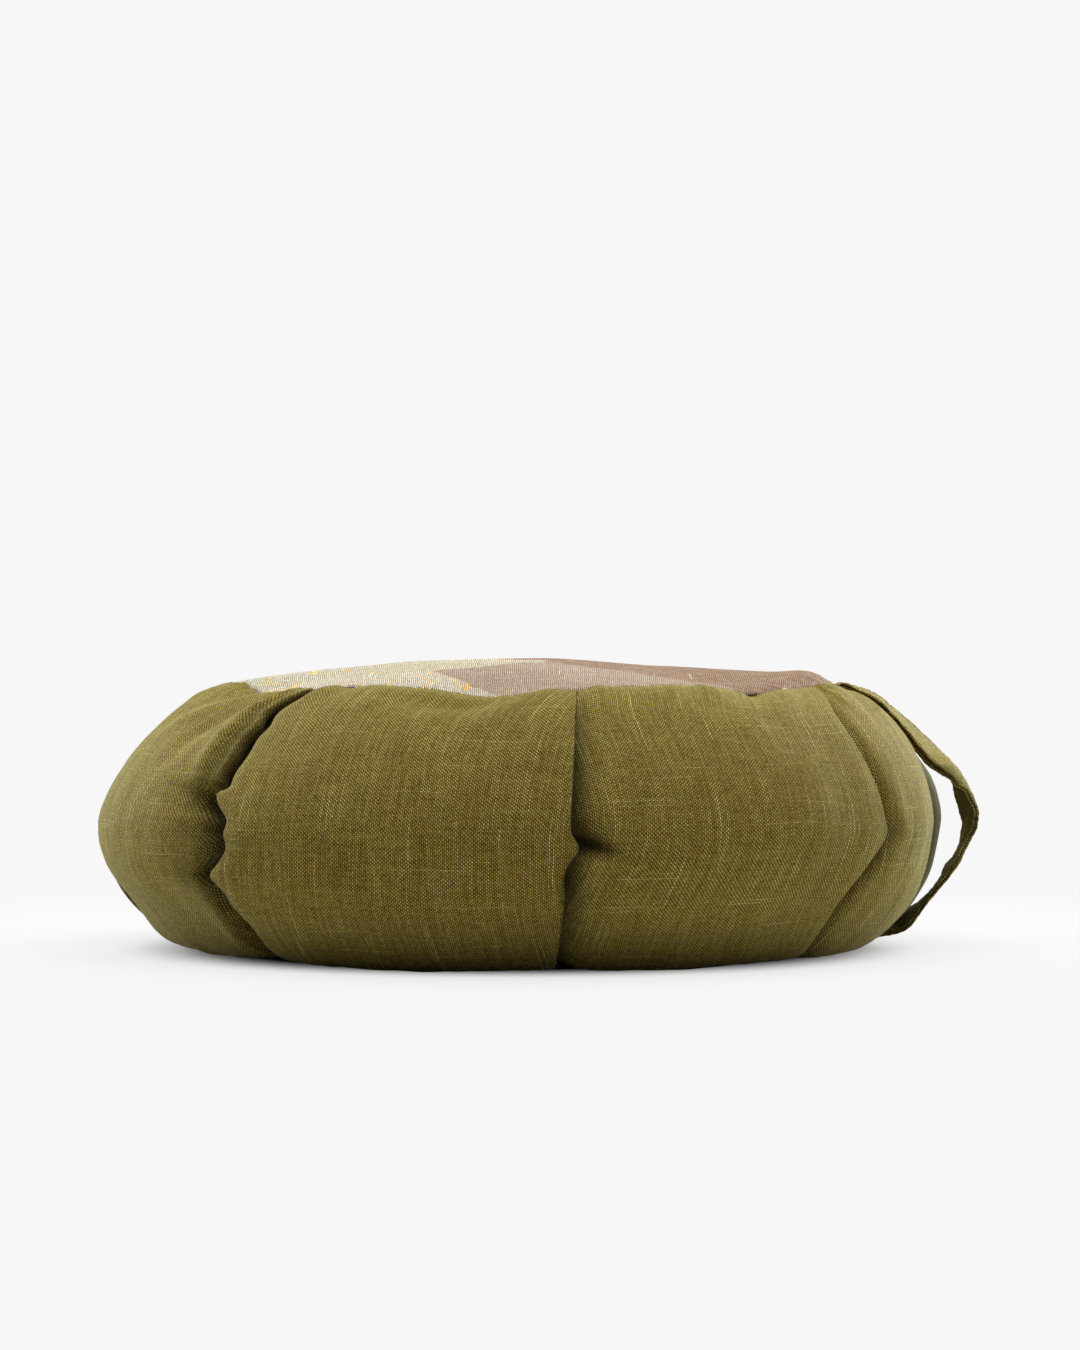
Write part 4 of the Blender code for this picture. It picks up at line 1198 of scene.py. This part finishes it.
def linen_group():
    """Plain weave of uneven flax yarn on a cloth's own coordinates.

    Each noise has its own third coordinate, which keeps it apart from the others.
    """
    tree = bpy.data.node_groups.new("Linen weave", "ShaderNodeTree")
    face = tree.interface
    face.new_socket("Cloth", in_out="INPUT", socket_type="NodeSocketVector")
    for name in ("Yarn", "Wander", "Slubs"):
        face.new_socket(name, in_out="INPUT", socket_type="NodeSocketFloat")
    given = add(tree, "NodeGroupInput").outputs
    yarn, slubs, wander = given["Yarn"], given["Slubs"], given["Wander"]

    flat = add(tree, "ShaderNodeSeparateXYZ", {"Vector": given["Cloth"]}).outputs[:2]
    u = wandering(flat[0], flat, wander, 3.0, 15.0)
    v = wandering(flat[1], flat, wander, 9.0, 21.0)
    across = maths("DIVIDE", u, yarn)
    along = maths("DIVIDE", v, times(yarn, WEFT_SHARE))
    warp_wave, warp_round, warp_turn = yarn_wave(across)
    weft_wave, weft_round, weft_turn = yarn_wave(along)
    parity = times(warp_wave, weft_wave)
    over, under = times(parity, 1 - ROUND_SHARE), times(parity, ROUND_SHARE - 1)
    warp = times_plus(maths("SQRT", warp_round), ROUND_SHARE, over)
    weft = times_plus(maths("SQRT", weft_round), ROUND_SHARE, under)
    warp_up = step_up(minus(warp, weft), *ON_TOP)
    weft_up = minus(1.0, warp_up)

    warp_tone, warp_slub = yarn_marks(across, v, 40.0, 80.0, slubs, warp_up, warp_round)
    weft_tone, weft_slub = yarn_marks(along, u, 60.0, 90.0, slubs, weft_up, weft_round)
    slub = maths("MAXIMUM", warp_slub, weft_slub)
    tone = maths("ADD", times(warp_tone, warp_up), times(weft_tone, weft_up))
    hole = step_up(times(minus(1.0, warp_round), minus(1.0, weft_round)), *HOLE_RANGE)
    unlike = times_plus(times(warp_turn, weft_turn), HOLE_UNLIKE, 1 - HOLE_UNLIKE)
    masks = {"Tone": step_up(tone, *TONE_RANGE), "Slub": slub, "Hole": times(hole, unlike),
             "Patch": noise(u, v, 33.0, UNEVEN_SCALE, detail=3.0),
             "Relief": times_plus(slub, SLUB_RELIEF, maths("MAXIMUM", warp, weft)),
             "Warp Up": warp_up, "Fleck": noise(across, along, 55.0, FLECK_SCALE)}

    for name in masks:
        face.new_socket(name, in_out="OUTPUT", socket_type="NodeSocketFloat")
    add(tree, "NodeGroupOutput", masks)
    return tree


def new_material(name):
    """An empty material with its node tree."""
    material = bpy.data.materials.new(name)
    material.use_nodes = True
    return material, material.node_tree


def finish_shader(tree, colour, height, bump, values):
    """Colour and bump on the material's shader, and its plain values."""
    shader = tree.nodes["Principled BSDF"]
    strength, distance = bump
    bumpy = add(tree, "ShaderNodeBump", {"Height": height, "Strength": strength,
                                         "Distance": distance * MM})
    tree.links.new(colour, shader.inputs["Base Color"])
    tree.links.new(bumpy.outputs["Normal"], shader.inputs["Normal"])
    for name, value in values.items():
        shader.inputs[name].default_value = value


def linen_material(name, weave, look, tint=None):
    """A matt woven linen, with painted shade and highlight.  tint recolours the yarn where the
    cloth is printed.
    """
    material, tree = new_material(name)
    cloth = add(tree, "ShaderNodeUVMap", uv_map="Cloth").outputs["UV"]
    mask = add(tree, "ShaderNodeGroup", {"Cloth": cloth, "Yarn": look.yarn, "Slubs": look.slubs,
                                         "Wander": look.wander}, node_tree=weave).outputs
    colour = mix_colours(mask["Tone"], look.dark, look.light)
    if tint is not None:
        colour = tint(cloth, colour)
    colour = mix_colours(times(mask["Slub"], SLUB_SHOWS), colour, look.slub)
    patch = times_plus(mask["Patch"], *PATCH_SHADE)
    colour = shaded(colour, maths("POWER", patch, PATCH_RED), patch, patch)
    # Painted shade and highlight on the yarns: low parts darker, crests and warp on top lighter;
    # then uneven flecks.
    crest = times_plus(mask["Relief"], *RELIEF_SHADE)
    crest = times(crest, times_plus(mask["Warp Up"], *WARP_SHADE))
    crest = times(crest, times_plus(mask["Fleck"], *FLECK_SHADE))
    colour = shaded(colour, crest, crest, crest)
    colour = mix_colours(times(mask["Hole"], look.hole), colour, HOLE_COLOUR)
    # Painted shade next to folds and in hollows, from the mesh's attribute.
    dim = add(tree, "ShaderNodeAttribute", attribute_name="PaintedShade", attribute_type="GEOMETRY")
    colour = mix_colours(dim.outputs["Fac"], colour, PAINTED_SHADE_COLOUR)
    finish_shader(tree, colour, mask["Relief"], LINEN_BUMP,
                  {**LINEN_SHADER, "Sheen Weight": look.sheen})
    return material


def printed_tint(cloth, yarn):
    """A generic print: soft patches, with thin gold rings in some of them."""
    tree = tree_of(cloth)
    bends, bend = PATCH_BEND
    drift = add(tree, "ShaderNodeTexNoise", {"Vector": cloth, "Scale": bends, "Detail": 3.0})
    offset = add(tree, "ShaderNodeVectorMath", {0: drift.outputs["Color"], 1: (0.5, 0.5, 0.5)},
                 operation="SUBTRACT")
    offset = add(tree, "ShaderNodeVectorMath", {0: offset.outputs[0], 3: bend}, operation="SCALE")
    bent = add(tree, "ShaderNodeVectorMath", {0: cloth, 1: offset.outputs[0]}, operation="ADD")
    bent = add(tree, "ShaderNodeVectorMath", {0: bent.outputs[0], 1: PRINT_PLACE}, operation="ADD")
    patches = add(tree, "ShaderNodeTexVoronoi",
                  {"Vector": bent.outputs[0], "Scale": PATCH_SCALE, "Randomness": PATCH_UNEVEN},
                  voronoi_dimensions="2D").outputs
    pick = add(tree, "ShaderNodeSeparateColor", {"Color": patches["Color"]}).outputs
    rosy = step_up(pick["Red"], *ROSE_PATCHES)
    brown = step_up(pick["Green"], *BROWN_PATCHES)
    colour = mix_colours(rosy, PRINT_GREY, PRINT_ROSE)
    colour = mix_colours(brown, colour, PRINT_BROWN)
    colour = mix_colours(step_up(pick["Blue"], *PALE_PATCHES), colour, PRINT_PALE)
    brush = add(tree, "ShaderNodeTexNoise", {"Vector": cloth, "Scale": BRUSH_SCALE,
                                             "Detail": 4.0}).outputs["Fac"]
    streak = step_up(brush, *BRUSH_STREAKS)
    colour = mix_colours(times(streak, STREAK_SHARE), colour, PRINT_PALE)

    rings = maths("FRACT", times(patches["Distance"], GOLD_RINGS))
    line = minus(1.0, step_up(maths("ABSOLUTE", minus(rings, 0.5)), *GOLD_LINE))
    plain = minus(1.0, maths("MAXIMUM", rosy, brown))
    gold = times(times(line, step_up(brush, *GOLD_INKED)), plain)
    colour = mix_colours(gold, colour, PRINT_GOLD)
    return mix_colours(1.0, yarn, colour, "MULTIPLY")


def thread_material():
    """Sewing thread: twisted, a little lighter than the cloth."""
    material, tree = new_material("olive_thread")
    where = add(tree, "ShaderNodeTexCoord")
    twist = add(tree, "ShaderNodeTexWave", {"Vector": where.outputs["Object"],
                                            "Scale": THREAD_TWISTS,
                                            "Distortion": THREAD_UNEVEN}).outputs["Fac"]
    colour = mix_colours(twist, THREAD_DARK, THREAD_LIGHT)
    finish_shader(tree, colour, twist, THREAD_BUMP, THREAD_SHADER)
    return material


# ------------------------------------------------------- floor, light, camera
PAPER = (0.70, 0.70, 0.69, 1.0)
FLOOR_WHITE = 0.93          # level of the pale floor and backdrop in the picture
FLOOR_DARK = 0.13           # out to this distance in metres the floor takes full shadows
FLOOR_LIGHT = 0.185         # from this one on its shadows are pale
FLOOR_EVEN = 0.55           # beyond this one it is evenly bright
FLOOR_PALE = 0.84           # even share of the brightness where the shadows are pale

LIGHTS_AIM = (0.0, 0.0, 0.06)
LIGHTS = (                  # place and size in metres, and watts
    ("light_above", (0.0, 0.1, 1.6), 1.8, 39.0),
    ("light_left", (-1.25, 0.92, 0.18), 0.9, 17.0),
    ("light_left_back", (-1.2, 0.9, 0.8), 0.9, 7.5),
    ("light_right", (1.09, 1.0, 0.5), 0.9, 27.0),
    ("light_right_front", (1.2, -1.2, 0.7), 0.9, 1.2),
)
ROOM_LIGHT = 0.02           # strength of the even light from all sides

CAMERA_PLACE = (0.009, -2.1, 0.150)
CAMERA_LENS = 124.4         # millimetres
CAMERA_DIP = 0.75           # degrees below the level


def floor_material():
    """A pale, evenly lit paper floor that still takes soft shadows."""
    material, tree = new_material("pale_floor")
    tree.nodes.clear()
    path = add(tree, "ShaderNodeLightPath")
    where = add(tree, "ShaderNodeTexCoord")
    away = add(tree, "ShaderNodeVectorMath", {0: where.outputs["Object"]},
               operation="LENGTH").outputs["Value"]
    paper = add(tree, "ShaderNodeBsdfDiffuse", {"Color": PAPER})
    even = add(tree, "ShaderNodeEmission", {"Color": (FLOOR_WHITE, FLOOR_WHITE, FLOOR_WHITE, 1.0)})
    near = step_up(away, FLOOR_DARK, FLOOR_LIGHT)
    far = step_up(away, FLOOR_LIGHT, FLOOR_EVEN)
    even_share = times_plus(far, 1.0 - FLOOR_PALE, times(near, FLOOR_PALE))
    seen = times(path.outputs["Is Camera Ray"], even_share)
    mix = add(tree, "ShaderNodeMixShader", {0: seen, 1: paper.outputs[0], 2: even.outputs[0]})
    add(tree, "ShaderNodeOutputMaterial", {"Surface": mix.outputs[0]}, target="ALL")
    return material


def make_floor():
    """A floor that sweeps up into a backdrop far behind the cushion."""
    half, near, far, bend, high, steps = 9.0, -9.0, 5.0, 2.0, 7.0, 12
    profile = [(near, 0.0), (far - bend, 0.0)]
    for step in range(1, steps + 1):
        angle = math.pi / 2 * step / steps
        profile.append((far - bend + bend * math.sin(angle), bend - bend * math.cos(angle)))
    profile.append((far, high))
    points = [(side, y, z) for y, z in profile for side in (-half, half)]
    faces = [(2 * i, 2 * i + 1, 2 * i + 3, 2 * i + 2) for i in range(len(profile) - 1)]
    mesh = bpy.data.meshes.new("floor")
    mesh.from_pydata(points, [], faces)
    mesh.shade_smooth()
    mesh.materials.append(floor_material())
    floor = put_in_scene("floor", mesh)


def make_lights():
    """Soft light from above and from both sides, and little from the front."""
    for name, place, size, watts in LIGHTS:
        data = bpy.data.lights.new(name, "AREA")
        data.shape = "SQUARE"
        data.size = size
        data.energy = watts
        light = put_in_scene(name, data)
        light.location = place
        aim = light.location.copy()
        aim.x, aim.y, aim.z = (t - p for t, p in zip(LIGHTS_AIM, place))
        light.rotation_euler = aim.to_track_quat("-Z", "Y").to_euler()
    world = bpy.data.worlds.new("studio")
    world.use_nodes = True
    background = world.node_tree.nodes["Background"]
    background.inputs["Color"].default_value = (1.0, 1.0, 1.0, 1.0)
    background.inputs["Strength"].default_value = ROOM_LIGHT
    bpy.context.scene.world = world


def make_camera():
    """The photograph's view: from the front, a little above the seam, far away."""
    data = bpy.data.cameras.new("camera")
    data.lens = CAMERA_LENS
    camera = put_in_scene("camera", data)
    camera.location = CAMERA_PLACE
    camera.rotation_euler = (math.radians(90 - CAMERA_DIP), 0.0, 0.0)
    bpy.context.scene.camera = camera
    bpy.context.scene.view_settings.view_transform = "Standard"


# ----------------------------------------------------------------- the scene
def main():
    """The stage and the five pieces, attached to the root body in place of the hidden parts."""
    make_floor()
    make_lights()
    make_camera()
    weave = linen_group()
    olive = linen_material("olive_linen", weave, OLIVE)
    base_olive = linen_material("olive_linen_base", weave, OLIVE_UNDER)
    print_linen = linen_material("printed_linen", weave, PRINT, printed_tint)
    thread = thread_material()

    band = make_band(olive)
    top = make_panel("printed_top", print_linen, TOP_SHIFT, top_skin, -CLOTH)
    base = make_panel("plain_base", base_olive, 0.0, base_skin, CLOTH)
    strap = make_strap(olive)
    stitches = make_stitches(thread)
    pieces = ((band, "side_band", "band_linen"), (top, "top_panel", "print_linen"),
              (base, "base_panel", "base_linen"), (strap, "carry_strap", "strap_linen"))
    for piece, node, slot in pieces:
        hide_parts(node)
        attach(piece, "root")
    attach(stitches, "root")

    middle = strap_lines()[0]


main()
